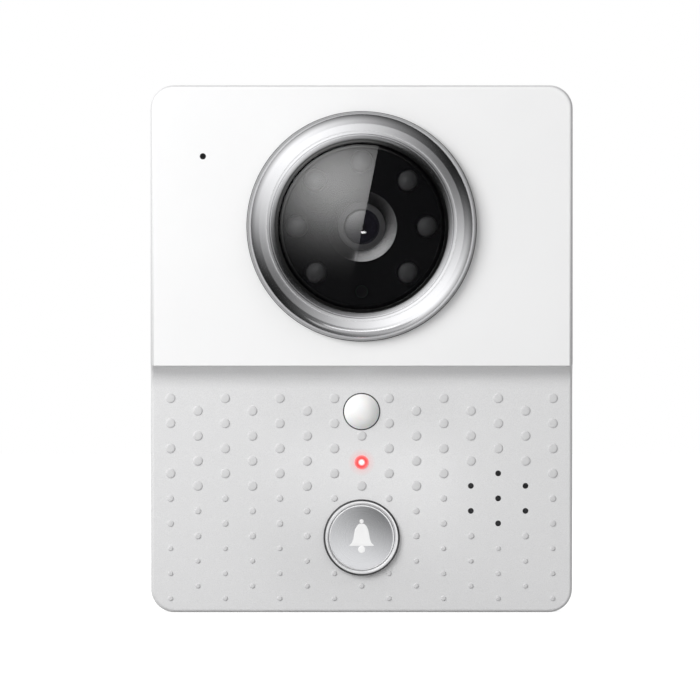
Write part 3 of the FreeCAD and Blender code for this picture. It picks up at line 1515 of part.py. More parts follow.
def buildSpeaker():
    x, z = "speakerX", "speakerZ"
    basket = turned("basketTurned", x, z, [
        ("frameHole", "frameBase"),
        ("frameFoot + frameHeel", "frameBase"),
        ("frameShoulder", "frameRear - frameShoulderDrop"),
        ("frameShoulder", "frameRear"),
        ("meshRadius", "frameRear"),
        ("meshRadius", "gasketRear"),
        ("frameMouth", "gasketRear"),
        ("frameMouth", "gasketRear - frameMouthDrop"),
        ("frameFoot", "frameFloor"),
        ("frameHole", "frameFloor"),
    ])
    tag = block("speakerTag", f"{x} - tagReach", f"{x} - tagRoot", "frameBase",
                "frameBase + tagDepth", f"{z} - tagHalf", f"{z} + tagHalf")
    piece("speaker_frame", fuse("speakerFrame", [basket, tag]))
    rear = "frameBase - magnetDisc"
    piece("speaker_magnet", turned("speakerMagnet", x, z, [
        ("0", rear),
        ("magnetRadius", rear),
        ("magnetRadius", "frameBase"),
        ("frameHole", "frameBase"),
        ("frameHole", "frameFloor"),
        ("magnetGapOuter", "frameFloor"),
        ("magnetGapOuter", f"{rear} + magnetFloor"),
        ("magnetPole", f"{rear} + magnetFloor"),
        ("magnetPole", "frameFloor"),
        ("0", "frameFloor"),
    ]))
    former = "coneFormer - coneSkin"
    neck = "frameFloor + coneLift"
    crown = f"(({former}) ^ 2 + coneCap ^ 2) / (2 * coneCap)"
    edge = "gasketRear - coneSink"
    piece("speaker_cone", turned("speakerCone", x, z, [
        (former, "frameFloor - coneFormerTail"),
        ("coneFormer", "frameFloor - coneFormerTail"),
        ("coneFormer", neck),
        ("coneEdge", f"{edge} - coneSkin"),
        ("coneEdge + coneRoll", f"{edge} - coneSkin"),
        ("coneEdge + coneRoll", edge),
        ("coneEdge", edge),
        (former, f"{neck} + coneSkin", crown, -1),
        ("0", f"{neck} + coneSkin + coneCap"),
        ("0", f"{neck} + coneCap", crown, 1),
        (former, neck),
    ]))
    piece("speaker_gasket", tube("speakerGasket", x, z, "speakerSeatInner", "meshRadius",
                                 "gasketRear", "meshRear"))
    piece("speaker_mesh", rod("speakerMesh", x, z, "meshRadius", "meshRear", "speakerSeat"))
    added = [rod("retainerDisc", x, z, "retainerOuter", "retainerRear", "frameRear")]
    holes = [rod("retainerBore", x, z, "retainerInner", "retainerRear - cutterRun",
                 "frameRear + cutterRun")]
    for earX, earZ in retainerPlaces():
        added.append(rod("retainerEarDisc", earX, earZ, "retainerEar", "retainerRear",
                         "frameRear"))
        holes.append(rod("retainerHole", earX, earZ, "smallHole", "retainerRear - cutterRun",
                         "frameRear + cutterRun"))
    piece("speaker_retainer", cut("speakerRetainer", fuse("retainerBlank", added), holes))


def buildMicrophone():
    x, z = "microphoneAcross", "microphoneHeight"
    piece("microphone_boot", turned("microphoneBoot", x, z, [
        ("microphoneRadius", "bootRear"),
        ("bootRadius", "bootRear"),
        ("bootRadius", "upperInner"),
        ("microphoneHole", "upperInner"),
        ("microphoneHole", "capsuleFront"),
        ("microphoneRadius", "capsuleFront"),
    ]))
    piece("microphone", rod("microphoneCapsule", x, z, "microphoneRadius", "capsuleRear",
                            "capsuleFront"))


def socket(name, x, z):
    return block(name, f"{x} - socketWidth / 2", f"{x} + socketWidth / 2", "boardFront",
                 "boardFront + socketDepth", f"{z} - socketHeight / 2", f"{z} + socketHeight / 2")


def microphoneLead(name, x):
    # Out of the capsule's rear, round a bend and straight down to its socket
    body = newBody(name)
    path = newSketch(body, "YZ_Plane", z=x)
    top, bend = "microphoneHeight", "leadDepth + leadBend"
    places = [("-capsuleRear", top), (f"-({bend})", top), ("-leadDepth", f"{top} - leadBend"),
              ("-leadDepth", "socketLeftZ + socketHeight / 2")]
    spots = [vector(value(y), value(z), 0) for y, z in places]
    runs = [
        path.addGeometry(Part.LineSegment(spots[0], spots[1])),
        path.addGeometry(arcBetween(spots[1], spots[2], value("leadBend"), -1)),
        path.addGeometry(Part.LineSegment(spots[2], spots[3])),
    ]
    number = path.addConstraint(Sketcher.Constraint("Radius", runs[1], value("leadBend")))
    bind(path, f"Constraints[{number}]", "leadBend")
    path.addConstraint(Sketcher.Constraint("Coincident", runs[0], 2, runs[1], 2))
    path.addConstraint(Sketcher.Constraint("Coincident", runs[1], 1, runs[2], 1))
    ends = [(runs[0], 1), (runs[0], 2), (runs[2], 1), (runs[2], 2)]
    for (geometry, end), (y, z) in zip(ends, places):
        pin(path, geometry, end, y, z)
    wire = newSketch(body, "XZ_Plane", z="capsuleRear")
    addCircle(wire, x, top, "leadRadius")
    pipe = body.newObject("PartDesign::AdditivePipe", name + "Pipe")
    pipe.Profile = wire
    pipe.Spine = (path, [f"Edge{number}" for number in (1, 2, 3)])
    return body


def speakerLead(name, z):
    # A short straight run from the socket to the speaker's tag
    bar = doc.addObject("Part::Cylinder", name)
    bar.Placement = FreeCAD.Placement(vector(), FreeCAD.Rotation(vector(0, 1, 0), 90))
    bind(bar, "Radius", "leadRadius")
    bind(bar, "Height", "speakerX - tagReach - socketRightX - socketWidth / 2")
    bind(bar, "Placement.Base.x", "socketRightX + socketWidth / 2")
    bind(bar, "Placement.Base.y", "-leadDepth")
    bind(bar, "Placement.Base.z", z)
    return bar


def buildWiring():
    piece("lead_sockets", group("leadSockets", [
        socket("microphoneSocket", "microphoneAcross", "socketLeftZ"),
        socket("speakerSocket", "socketRightX", "speakerZ"),
    ]))
    half = "leadPitch / 2"
    piece("microphone_leads", group("microphoneLeads", [
        microphoneLead("microphoneLeadLeft", f"microphoneAcross - {half}"),
        microphoneLead("microphoneLeadRight", f"microphoneAcross + {half}"),
    ]))
    piece("speaker_leads", group("speakerLeads", [
        speakerLead("speakerLeadUpper", f"speakerZ + {half}"),
        speakerLead("speakerLeadLower", f"speakerZ - {half}"),
    ]))
    wide = "(ribbonWidth / 2 + ribbonSocketSide)"
    high = "cameraHeight - cameraBoardHalf + ribbonEdge"
    low = "boardTop - ribbonEdge"
    upper = block("cameraRibbonSocket", f"-{wide}", wide, "cameraBoardRear - ribbonSocketDepth",
                  "cameraBoardRear", high, f"{high} + ribbonSocketHeight")
    lower = block("mainRibbonSocket", f"-{wide}", wide, "boardRear - ribbonSocketDepth",
                  "boardRear", f"{low} - ribbonSocketHeight", low)
    piece("ribbon_sockets", group("ribbonSockets", [upper, lower]))
    near = "cameraBoardRear - ribbonSocketDepth / 2"
    far = "boardRear - ribbonSocketDepth / 2"
    half = "ribbonThick / 2"
    line = [(near, high), (near, f"{high} - ribbonStraight"), (far, f"{low} + ribbonStraight"),
            (far, low)]
    section = [(f"{depth} - {half}", height) for depth, height in line]
    section += [(f"{depth} + {half}", height) for depth, height in reversed(line)]
    piece("camera_ribbon", prism("cameraRibbon", "-ribbonWidth / 2", "ribbonWidth / 2", section))


def faults():
    # Every object that failed to build, and every piece without one or more sound solids
    doc.recompute()
    found = []
    for thing in doc.Objects:
        if "Invalid" in thing.State or "Error" in thing.State:
            found.append(f"{thing.Name} {thing.State}")
    for feature in pieces:
        shape = feature.Shape
        if shape.isNull() or not shape.isValid() or not shape.Solids:
            found.append(f"{feature.Label} has no sound shape")
    return found


fillSheet()
buildFrontCover()
buildRearHousing()
buildCaseFittings()
buildBracket()
buildCameraFront()
buildCameraHousing()
buildDiodes()
buildLens()
buildFilter()
buildMotionSensor()
buildStatusLight()
buildButton()
buildMainBoard()
buildTerminals()
buildTamper()
buildSpeaker()
buildMicrophone()
buildWiring()

problems = faults()
if problems:
    raise RuntimeError("; ".join(problems))
os.makedirs("parts", exist_ok=True)
for feature in pieces:
    feature.Shape.exportStep(f"parts/{feature.Label}.step")
print(f"{len(pieces)} pieces")
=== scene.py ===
import json
import math
import bmesh
import bpy
import numpy as np
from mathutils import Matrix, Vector

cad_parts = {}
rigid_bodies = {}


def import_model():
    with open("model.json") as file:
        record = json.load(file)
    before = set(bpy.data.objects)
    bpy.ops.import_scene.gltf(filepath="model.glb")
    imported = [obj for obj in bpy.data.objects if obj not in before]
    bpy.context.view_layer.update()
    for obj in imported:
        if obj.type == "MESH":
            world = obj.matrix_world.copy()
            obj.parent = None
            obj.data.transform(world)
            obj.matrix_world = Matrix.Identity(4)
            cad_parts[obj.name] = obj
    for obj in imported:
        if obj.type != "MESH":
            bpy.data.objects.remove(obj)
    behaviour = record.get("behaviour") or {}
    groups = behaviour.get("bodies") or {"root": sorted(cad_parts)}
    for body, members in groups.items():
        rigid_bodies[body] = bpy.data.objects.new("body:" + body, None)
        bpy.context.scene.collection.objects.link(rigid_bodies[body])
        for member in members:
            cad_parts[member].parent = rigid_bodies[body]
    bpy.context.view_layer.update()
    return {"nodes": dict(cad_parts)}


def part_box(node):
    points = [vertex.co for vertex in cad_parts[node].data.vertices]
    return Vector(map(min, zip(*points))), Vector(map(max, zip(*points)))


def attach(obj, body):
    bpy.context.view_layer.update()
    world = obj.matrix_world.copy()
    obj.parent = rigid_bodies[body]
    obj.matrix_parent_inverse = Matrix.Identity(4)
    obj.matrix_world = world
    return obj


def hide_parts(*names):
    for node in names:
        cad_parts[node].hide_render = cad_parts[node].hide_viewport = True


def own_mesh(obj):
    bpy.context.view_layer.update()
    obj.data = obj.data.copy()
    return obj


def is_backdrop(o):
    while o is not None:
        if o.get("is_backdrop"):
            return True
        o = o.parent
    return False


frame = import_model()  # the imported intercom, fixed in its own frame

# Looks for a door intercom: the case, the camera behind its smoked dome, the motion sensor,
# the status light and the call button. Depths are in millimetres from the wall, as y = -depth.

mm = 0.001
nodes = frame["nodes"]
caseBody = "intercom"


# Meshes: sections turned about an axis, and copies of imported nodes

def arcPoints(start, end, radius, side, steps):
    # The short arc between two points of a section. Its centre lies off the chord's middle by the
    # root of the radius squared less half the chord squared, and its angles are evenly spaced
    start, end = np.array(start, float), np.array(end, float)
    chord = end - start
    length = math.hypot(*chord)
    reach = math.sqrt(max(radius ** 2 - length ** 2 / 4, 0))
    centre = (start + end) / 2 + np.array([-chord[1], chord[0]]) / length * reach * side
    first = math.atan2(*(start - centre)[::-1])
    sweep = 2 * math.asin(min(length / 2 / radius, 1)) * side
    angles = first + sweep * np.linspace(0, 1, steps + 1)
    return centre + radius * np.column_stack([np.cos(angles), np.sin(angles)])


def sectionLine(points, soft, steps):
    # Section points (radius, depth). One that also has a radius and a side starts an arc to the
    # next. Each plain corner off the axis is cut by (1 - t)^2 a + 2 t (1 - t) corner + t^2 b,
    # where a and b lie the soft length, or four tenths of a short side, before and after it
    line, plain = [], []
    for number, point in enumerate(points):
        follower = points[(number + 1) % len(points)]
        if len(point) == 2:
            line.append(np.array([point], float))
            plain.append(np.array([True]))
        else:
            # depth grows towards the viewer, so an arc turns the other way than in the CAD
            arc = arcPoints(point[:2], follower[:2], point[2], -point[3], steps)[:-1]
            line.append(arc)
            plain.append(np.arange(len(arc)) == 0)
    line, plain = np.vstack(line), np.concatenate(plain)
    ends = []
    for side in (np.roll(line, 1, 0), np.roll(line, -1, 0)):
        length = np.maximum(np.linalg.norm(side - line, axis=1, keepdims=True), 1e-9)
        ends.append((line + (side - line) * np.minimum(soft / length, 0.4))[:, None])
    t = np.linspace(0, 1, 5)[:, None]
    curves = (1 - t) ** 2 * ends[0] + 2 * t * (1 - t) * line[:, None] + t ** 2 * ends[1]
    cut = plain & (line[:, 0] >= 1e-6)
    curves[~cut] = line[~cut][:, None]
    return curves[cut[:, None] | (np.arange(len(t)) == 0)]


def gridFaces(rows, columns, closeRows=False, closeColumns=False):
    # Quads between neighbouring rows and columns of a grid, wrapped round where it closes
    lastRow = rows if closeRows else rows - 1
    lastColumn = columns if closeColumns else columns - 1
    row, column = np.meshgrid(np.arange(lastRow), np.arange(lastColumn), indexing="ij")
    nextRow, nextColumn = (row + 1) % rows, (column + 1) % columns
    quads = np.stack([
        row * columns + column, row * columns + nextColumn,
        nextRow * columns + nextColumn, nextRow * columns + column,
    ], axis=-1)
    return quads.reshape(-1, 4)


def joined(patches):
    # Points and faces of several patches as one, each one's faces counted on from the last's
    starts = np.cumsum([0] + [len(points) for points, faces in patches])
    return (np.vstack([points for points, faces in patches]),
            np.vstack([faces + start for (points, faces), start in zip(patches, starts)]))


def buildMesh(name, points, faces, finish, body=caseBody, smooth=35.0):
    # Points and quads become an object. Doubles are welded, so poles and seams close
    mesh = bpy.data.meshes.new(name)
    points, faces = np.ascontiguousarray(points, float), np.ascontiguousarray(faces, np.int32)
    mesh.vertices.add(len(points))
    mesh.vertices.foreach_set("co", points.ravel())
    size = faces.shape[1]
    mesh.loops.add(faces.size)
    mesh.loops.foreach_set("vertex_index", faces.ravel())
    mesh.polygons.add(len(faces))
    mesh.polygons.foreach_set("loop_start", np.arange(0, faces.size, size, dtype=np.int32))
    mesh.update(calc_edges=True)
    mesh.validate()
    piece = bpy.data.objects.new(name, mesh)
    bpy.context.scene.collection.objects.link(piece)
    settle(piece, smooth)
    piece.data.materials.append(finish)
    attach(piece, body)
    return piece


def settle(piece, smooth, turn=True):
    # Welds doubles, turns the faces outwards and marks edges sharper than the angle
    work = bmesh.new()
    work.from_mesh(piece.data)
    bmesh.ops.remove_doubles(work, verts=work.verts, dist=2e-6)
    bmesh.ops.dissolve_degenerate(work, dist=1e-7, edges=work.edges)
    if turn:
        bmesh.ops.recalc_face_normals(work, faces=work.faces)
    work.to_mesh(piece.data)
    work.free()
    piece.data.shade_smooth()
    piece.data.set_sharp_from_angle(angle=math.radians(smooth))


def turnedPoints(line, x, z, segments):
    # A section carried round an axis square to the wall: x + r cos t, -depth, z + r sin t
    turn = np.linspace(0, 2 * math.pi, segments, endpoint=False)[:, None]
    radius, depth = line[None, :, 0], line[None, :, 1]
    spots = np.stack([
        x + radius * np.cos(turn), -depth + 0 * turn, z + radius * np.sin(turn),
    ], axis=-1)
    return spots.reshape(-1, 3) * mm


def turnedPiece(name, section, x, z, finish, body=caseBody, segments=160, soft=0.05, steps=24):
    # A closed section carried once round, the last turn joined to the first
    line = sectionLine(section, soft, steps)
    faces = gridFaces(segments, len(line), closeRows=True, closeColumns=True)
    return buildMesh(name, turnedPoints(line, x, z, segments), faces, finish, body)


def readAll(items, name, width=3, kind=np.float32):
    # One measure of every vertex, face or corner of a mesh, a row for each
    values = np.empty(len(items) * width, kind)
    items.foreach_get(name, values)
    return values.reshape(-1, width) if width > 1 else values


def levelFaces(mesh, least=4.0):
    # Wide flat faces are shaded flat. A face is wide where the area of all that lies in its
    # plane, over that area's longest reach, passes a width in millimetres. Faces share a plane
    # where their directions agree to a hundredth and their distances from the origin to 0.03 mm
    area = readAll(mesh.polygons, "area", 1)
    facing, middle = readAll(mesh.polygon_normals, "vector"), readAll(mesh.polygons, "center")
    offset = (facing * middle).sum(1)
    keys = np.round(np.column_stack([facing * 100, offset / 3e-5])).astype(np.int64)
    group = np.unique(keys, axis=0, return_inverse=True)[1].ravel()
    planes = group.max() + 1
    low, high = np.full((planes, 3), np.inf), np.full((planes, 3), -np.inf)
    np.minimum.at(low, group, middle)
    np.maximum.at(high, group, middle)
    reach = np.linalg.norm(high - low, axis=1) + 1e-5
    wide = (np.bincount(group, area) / reach > least * mm)[group]
    mesh.polygons.foreach_set("use_smooth", ~wide)
    mesh.update()


def smoothCopy(node, finish, body=caseBody, smooth=30.0, name=None, levelled=True):
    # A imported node's mesh, welded and shaded by angle, its wide faces kept flat
    piece = bpy.data.objects.new(name or node + "Smooth", nodes[node].data.copy())
    bpy.context.scene.collection.objects.link(piece)
    settle(piece, smooth, turn=False)
    if levelled:
        levelFaces(piece.data)
    piece.data.materials.clear()
    piece.data.materials.append(finish)
    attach(piece, body)
    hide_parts(node)
    return piece


def nodePlace(node):
    # A round node on the case's middle line: its height, reach, rear and front from the frame
    low, high = (np.array(corner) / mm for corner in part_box(node))
    sizes = {"z": (low[2] + high[2]) / 2, "reach": high[0], "rear": -high[1], "front": -low[1]}
    return {key: round(float(size), 3) for key, size in sizes.items()}


def ballRadius(reach, rise):
    # The radius of the ball whose cap has this reach and rise: (reach^2 + rise^2) / (2 rise)
    return (reach ** 2 + rise ** 2) / (2 * rise)


def domeSection(dome):
    # A flanged dome: its face is a ball's cap, and its back a ball a wall smaller about the same
    # centre, cut off at the bore
    radius, rise, bore, tip = dome["radius"], dome["rise"], dome["bore"], dome["front"]
    ball, lip = ballRadius(radius, rise), dome["rear"] + dome["flange"]
    inner = ball - dome["wall"]
    return [
        (bore, dome["rear"]), (dome["reach"], dome["rear"]), (dome["reach"], lip), (radius, lip),
        (radius, tip - rise, ball, -1), (0.0, tip), (0.0, tip - dome["wall"], inner, 1),
        (bore, tip - ball + math.sqrt(inner ** 2 - bore ** 2)),
    ]


# Finishes, all worked out from object coordinates

def newFinish(name, **sockets):
    # A Principled material with its sockets set by name, and its tree and shader
    material = bpy.data.materials.new(name)
    material.use_nodes = True
    tree = material.node_tree
    shader = tree.nodes["Principled BSDF"]
    for socket, setting in sockets.items():
        shader.inputs[socket.replace("_", " ")].default_value = setting
    return material, tree, shader


def feed(tree, shader, **sockets):
    # Links what varies over the surface to the shader's sockets, named as in newFinish
    for socket, value in sockets.items():
        tree.links.new(value, shader.inputs[socket.replace("_", " ")])


def addNode(tree, kind, links=None, **settings):
    # A node with its inputs set or linked, and its own settings
    node = tree.nodes.new("ShaderNode" + kind)
    for name, setting in settings.items():
        setattr(node, name, setting)
    for socket, value in (links or {}).items():
        if isinstance(value, bpy.types.NodeSocket):
            tree.links.new(value, node.inputs[socket])
        else:
            node.inputs[socket].default_value = value
    return node


def objectPlace(tree):
    # Object coordinates, in metres from the origin, on the wall behind the case's middle
    return addNode(tree, "TexCoord").outputs["Object"]


def addMath(tree, operation, first, second=0.0):
    # One sum, product or the like of two numbers or sockets
    return addNode(tree, "Math", {0: first, 1: second}, operation=operation).outputs[0]


def addNoise(tree, scale, detail=3.0, stretch=(1, 1, 1), rough=0.55):
    # Noise on object coordinates, its scale in features per metre, stretched by axis
    place = addNode(tree, "Mapping", {"Vector": objectPlace(tree), "Scale": stretch})
    noise = addNode(tree, "TexNoise", {
        "Vector": place.outputs[0], "Scale": scale, "Detail": detail, "Roughness": rough,
    })
    return noise.outputs["Fac"]


def addBump(tree, shader, height, depth):
    # Bump with its depth in metres
    bump = addNode(tree, "Bump", {"Height": height, "Distance": depth, "Strength": 1.0})
    feed(tree, shader, Normal=bump.outputs[0])


def spread(tree, value, low, high, fromLow=0.3, fromHigh=0.7):
    # A value's range carried onto another one. The usual one is where most of a noise lies
    return addNode(tree, "MapRange", {
        "Value": value, "From Min": fromLow, "From Max": fromHigh, "To Min": low, "To Max": high,
    }).outputs[0]


def blendColour(tree, factor, first, second):
    # The first colour where the factor is 0, the second where it is 1
    mix = addNode(tree, "Mix", data_type="RGBA")
    for socket, value in ((mix.inputs[0], factor), (mix.inputs[6], first), (mix.inputs[7], second)):
        if isinstance(value, bpy.types.NodeSocket):
            tree.links.new(value, socket)
        else:
            socket.default_value = value
    return mix.outputs[2]


def axisReach(tree, z):
    # Distance in metres from an axis square to the wall, at a height z in millimetres
    place = addNode(tree, "Mapping", {
        "Vector": objectPlace(tree), "Location": (0, 0, -z * mm), "Scale": (1, 0, 1),
    })
    return addNode(tree, "VectorMath", {0: place.outputs[0]}, operation="LENGTH").outputs["Value"]


def reachSpread(tree, z, low, high, start, end):
    # A value that goes from low to high between two distances, in millimetres, from such an axis
    return spread(tree, axisReach(tree, z), low, high, start * mm, end * mm)


def depthSpread(tree, low, high, start, end):
    # A value that goes from low to high between two depths, in millimetres, from the wall
    y = addNode(tree, "SeparateXYZ", {0: objectPlace(tree)}).outputs["Y"]
    return spread(tree, y, low, high, -start * mm, -end * mm)


def shade(colour, factor):
    # A colour's red, green and blue times the factor, none of them above 1
    return tuple(min(part * factor, 1) for part in colour[:3]) + (1,)


def speckle(tree, noise, colour, change, span=(0.3, 0.7)):
    # A colour that goes from darker to lighter by a share each way, over a span of a noise
    return blendColour(tree, spread(tree, noise, 0, 1, *span), shade(colour, 1 - change),
                       shade(colour, 1 + change))


def vary(tree, noise, middle, change):
    # A value that goes up and down by a share each way with a noise
    return spread(tree, noise, middle * (1 - change), middle * (1 + change))


def mouldedFinish(name, colour, roughness, grain=2600, depth=1.2e-5, patch=0.02, **sockets):
    # Moulded plastic: a fine eroded texture, and broad patches a little lighter and glossier
    material, tree, shader = newFinish(name, **sockets)
    fine = addNoise(tree, grain, 4)
    broad = addNoise(tree, 35, 2)
    feed(tree, shader, Base_Color=speckle(tree, broad, colour, patch),
         Roughness=vary(tree, broad, roughness, 0.06))
    addBump(tree, shader, fine, depth)
    return material


def metalFinish(name, colour, roughness, stretch=(1, 1, 1), grain=900, depth=4e-6, spots=0.06):
    # Rolled or plated metal: fine drawn lines in the bump and in the roughness, faint clouds
    material, tree, shader = newFinish(name, Metallic=1.0)
    lines = addNoise(tree, grain, 4, stretch)
    cloud = addNoise(tree, 90, 3)
    feed(tree, shader, Base_Color=speckle(tree, cloud, colour, spots),
         Roughness=vary(tree, lines, roughness, 0.15))
    addBump(tree, shader, lines, depth)
    return material


def clearFinish(name, colour, roughness, bend, scratch=1.5e-7):
    # Clear or tinted plastic and glass, with the faintest waviness of a moulded face
    material, tree, shader = newFinish(name, Transmission_Weight=1.0, IOR=bend)
    wave = addNoise(tree, 160, 2)
    feed(tree, shader, Base_Color=speckle(tree, wave, colour, 0.03),
         Roughness=vary(tree, wave, roughness, 0.1))
    addBump(tree, shader, wave, scratch)
    return material


def boardFinish(name, mask, copper, pitch=0.0021):
    # A circuit board: solder mask over copper tracks, two crossed sets of lines cut up by noise
    material, tree, shader = newFinish(name, Roughness=0.32, Coat_Weight=0.3)
    parts = addNode(tree, "SeparateXYZ", {0: objectPlace(tree)})
    choice = addNode(tree, "TexVoronoi", {
        "Vector": objectPlace(tree), "Scale": 140.0, "Randomness": 0.9,
    }, distance="MANHATTAN")
    pick = addMath(tree, "GREATER_THAN", addNode(tree, "SeparateColor", {
        0: choice.outputs["Color"]}).outputs[0], 0.5)
    lines = []
    for axis in ("X", "Z"):
        wave = addMath(tree, "PINGPONG", parts.outputs[axis], pitch / 2)
        lines.append(addMath(tree, "LESS_THAN", wave, pitch * 0.13))
    tracks = addNode(tree, "Mix", {0: pick, 2: lines[0], 3: lines[1]}).outputs[0]
    feed(tree, shader, Base_Color=blendColour(tree, tracks, mask, copper))
    addBump(tree, shader, tracks, 3e-5)
    return material


finishes = {
    "housing": mouldedFinish("housingGrey", (0.42, 0.43, 0.45), 0.55, depth=2.5e-5),
    "black": mouldedFinish("blackPlastic", (0.03, 0.03, 0.032), 0.45),
    "light": mouldedFinish("lightPlastic", (0.82, 0.82, 0.80), 0.42),
    "rubber": mouldedFinish("sealRubber", (0.05, 0.05, 0.055), 0.68, grain=1800, depth=1.5e-5),
    "steel": metalFinish("zincSteel", (0.55, 0.56, 0.58), 0.36, (1, 1, 0.06), grain=2400,
                         spots=0.03),
    "screw": metalFinish("screwSteel", (0.50, 0.51, 0.53), 0.30),
    "brass": metalFinish("brass", (0.75, 0.58, 0.25), 0.28),
    "aluminium": metalFinish("aluminium", (0.72, 0.73, 0.75), 0.30),
    "speakerSteel": metalFinish("speakerSteel", (0.10, 0.10, 0.105), 0.42),
    "diode": mouldedFinish("diodeEpoxy", (0.075, 0.075, 0.078), 0.45, grain=300, depth=1e-6,
                           Sheen_Weight=0.25, Sheen_Roughness=0.5),
    "chip": mouldedFinish("chipBlack", (0.04, 0.04, 0.045), 0.5, grain=4200),
    "terminal": mouldedFinish("terminalGreen", (0.05, 0.35, 0.16), 0.45),
    "cone": mouldedFinish("conePaper", (0.12, 0.12, 0.12), 0.8, grain=1500, depth=3e-5),
    "ribbon": mouldedFinish("ribbonWhite", (0.85, 0.85, 0.82), 0.35),
    "lead": mouldedFinish("leadRubber", (0.35, 0.03, 0.03), 0.5),
    "board": boardFinish("boardGreen", (0.02, 0.16, 0.08, 1), (0.06, 0.27, 0.13, 1)),
    "pane": clearFinish("filterGlass", (0.70, 0.45, 0.50), 0.02, 1.5),
    "spring": metalFinish("springSteel", (0.60, 0.60, 0.62), 0.25),
}

nodeFinishes = {
    "black": ["camera_mask", "light_sensor", "lens_barrel", "lens_holder", "filter_carrier",
              "filter_arm", "button_nut", "microphone_boot", "microphone", "tamper_switch",
              "call_switch"],
    "light": ["button_guide", "tamper_plunger", "call_switch_plunger", "ribbon_sockets",
              "lead_sockets", "speaker_retainer", "status_led"],
    "rubber": ["housing_seal", "cable_grommet", "window_seal", "speaker_gasket"],
    "housing": ["rear_housing"],
    "steel": ["wall_bracket"],
    "screw": ["case_screws", "security_screw", "bezel_screws", "board_screws",
              "terminal_screws", "button_clip"],
    "brass": ["led_board_pins"],
    "aluminium": ["filter_motor", "capacitors", "wireless_module", "motion_sensor"],
    "speakerSteel": ["speaker_frame", "speaker_magnet", "speaker_mesh"],
    "chip": ["processor", "image_sensor", "door_relay"],
    "terminal": ["terminal_block"],
    "cone": ["speaker_cone"],
    "ribbon": ["camera_ribbon"],
    "lead": ["microphone_leads", "speaker_leads"],
    "board": ["main_board", "camera_board", "led_ring_board"],
    "pane": ["filter_panes"],
    "spring": ["button_spring"],
}
for key, names in nodeFinishes.items():
    for node in names:
        nodes[node].data.materials.clear()
        nodes[node].data.materials.append(finishes[key])
print("finishes made:", len(finishes))


# The case, and what its raised dots keep clear of

case = {
    "upperDepth": 25.0, "lowerDepth": 20.5, "stepTop": -4.2, "panelTop": -10.1,
    "panelRadius": 700.0, "coveDepth": 26.618, "coveRadius": 6.118, "rim": (24.89, 24.83),
    "white": (0.91, 0.91, 0.912), "silver": (0.775, 0.775, 0.78), "glow": (1.0, 0.45, 0.45, 1),
    "roughness": (0.30, 0.36), "metallic": (0.0, 0.12),
}
motion = {
    **nodePlace("motion_dome"), "radius": 4.5, "rise": 2.3, "wall": 0.9, "flange": 1.0, "bore": 3.6,
    "groove": 0.28, "milk": [(0.93, 0.93, 0.925, 1), (0.95, 0.95, 0.945, 1)],
}
# The halo radius and its share set a painted red glow of the status light on the face round it
light = {
    **nodePlace("status_light_pipe"), "radius": 1.7, "rise": 0.35, "collar": (17.3, 18.3),
    "core": (0.30, 0.95), "edge": (1.224, 1.7), "paintedHalo": 3.6, "share": 0.40,
    "glow": (0.72, 0.07, 0.07, 1), "rim": (0.62, 0.25, 0.25, 1), "white": (1, 0.9, 0.88, 1),
    "cap": [(0.7, 0.02, 0.02, 1), (0.9, 0.5, 0.5, 1)],
}
button = {
    **nodePlace("call_button"), "stem": (2.5, 17.007), "neck": (2.1, 13.407, 14.007),
    "corner": 0.25, "dish": 0.9, "dishEdge": 8.02, "ring": nodePlace("button_ring")["reach"],
    "metal": (0.62, 0.625, 0.64), "trim": (0.90, 0.90, 0.91), "edge": (8.0, 8.1), "travel": 0.5,
}
dots = {
    "pitch": 7.0, "row": 3.21, "first": -12.58, "columns": 7, "rows": 17, "height": 0.28,
    "slack": 0.02, "press": 0.01, "shade": 0.87,
    "bands": [(1.25, 0, 8), (0.85, 8, 12), (0.65, 12, 17)], "margin": 0.3, "segments": 16,
    "section": [(1.02, -0.15), (1.0, 0.25), (0.93, 0.62), (0.82, 0.90), (0.60, 1.0), (0.0, 1.0)],
    "holeRadius": 0.75, "holeMiddle": (35.0, -38.26),
    "holeSteps": [(0, 0), (0, -2), (0, 2), (-1, -1), (1, -1), (-1, 1), (1, 1)],
}
microphone = {
    "x": -40.6, "z": 49.3, "radius": 0.79, "wall": 0.11, "rear": 22.9, "floor": 23.4,
    "front": 24.95,
}
exact = {"flat": 0.005, "bow": 0.014, "hollow": 0.02, "edge": 0.01, "turn": 0.8}


def panelDepth(z):
    # The lower half bows gently: lower depth less the sagitta of a circle below its top line
    bow = case["panelRadius"] - np.sqrt(case["panelRadius"] ** 2 - (z - case["panelTop"]) ** 2)
    return case["lowerDepth"] - bow


def coverFinish():
    # A satin white upper face, and silver-white below it and round the edges. Round the status light
    # the colour blends towards red, a painted glow of its light on the face
    material, tree, shader = newFinish("coverWhite", Coat_Weight=0.25, Coat_Roughness=0.12)
    # Silver from just behind the upper face on: the lower half in two-tone paint, and the rounded
    # edges, where the silver is also painted shade for their grey line
    lower = depthSpread(tree, 0, 1, *case["rim"])
    fleck = addNoise(tree, 5200, 2)
    white = speckle(tree, addNoise(tree, 30, 2), case["white"], 0.01)
    silver = speckle(tree, fleck, case["silver"], 0.06)
    # Painted glow: the status light's red light on the face, painted into the colour out to the halo
    # radius
    paintedHalo = reachSpread(tree, light["z"], light["share"], 0, light["radius"], light["paintedHalo"])
    body = blendColour(tree, lower, white, silver)
    feed(tree, shader, Base_Color=blendColour(tree, paintedHalo, body, case["glow"]),
         Roughness=spread(tree, lower, *case["roughness"], 0, 1),
         Metallic=spread(tree, lower, *case["metallic"], 0, 1))
    addBump(tree, shader, fleck, 2e-6)
    return material


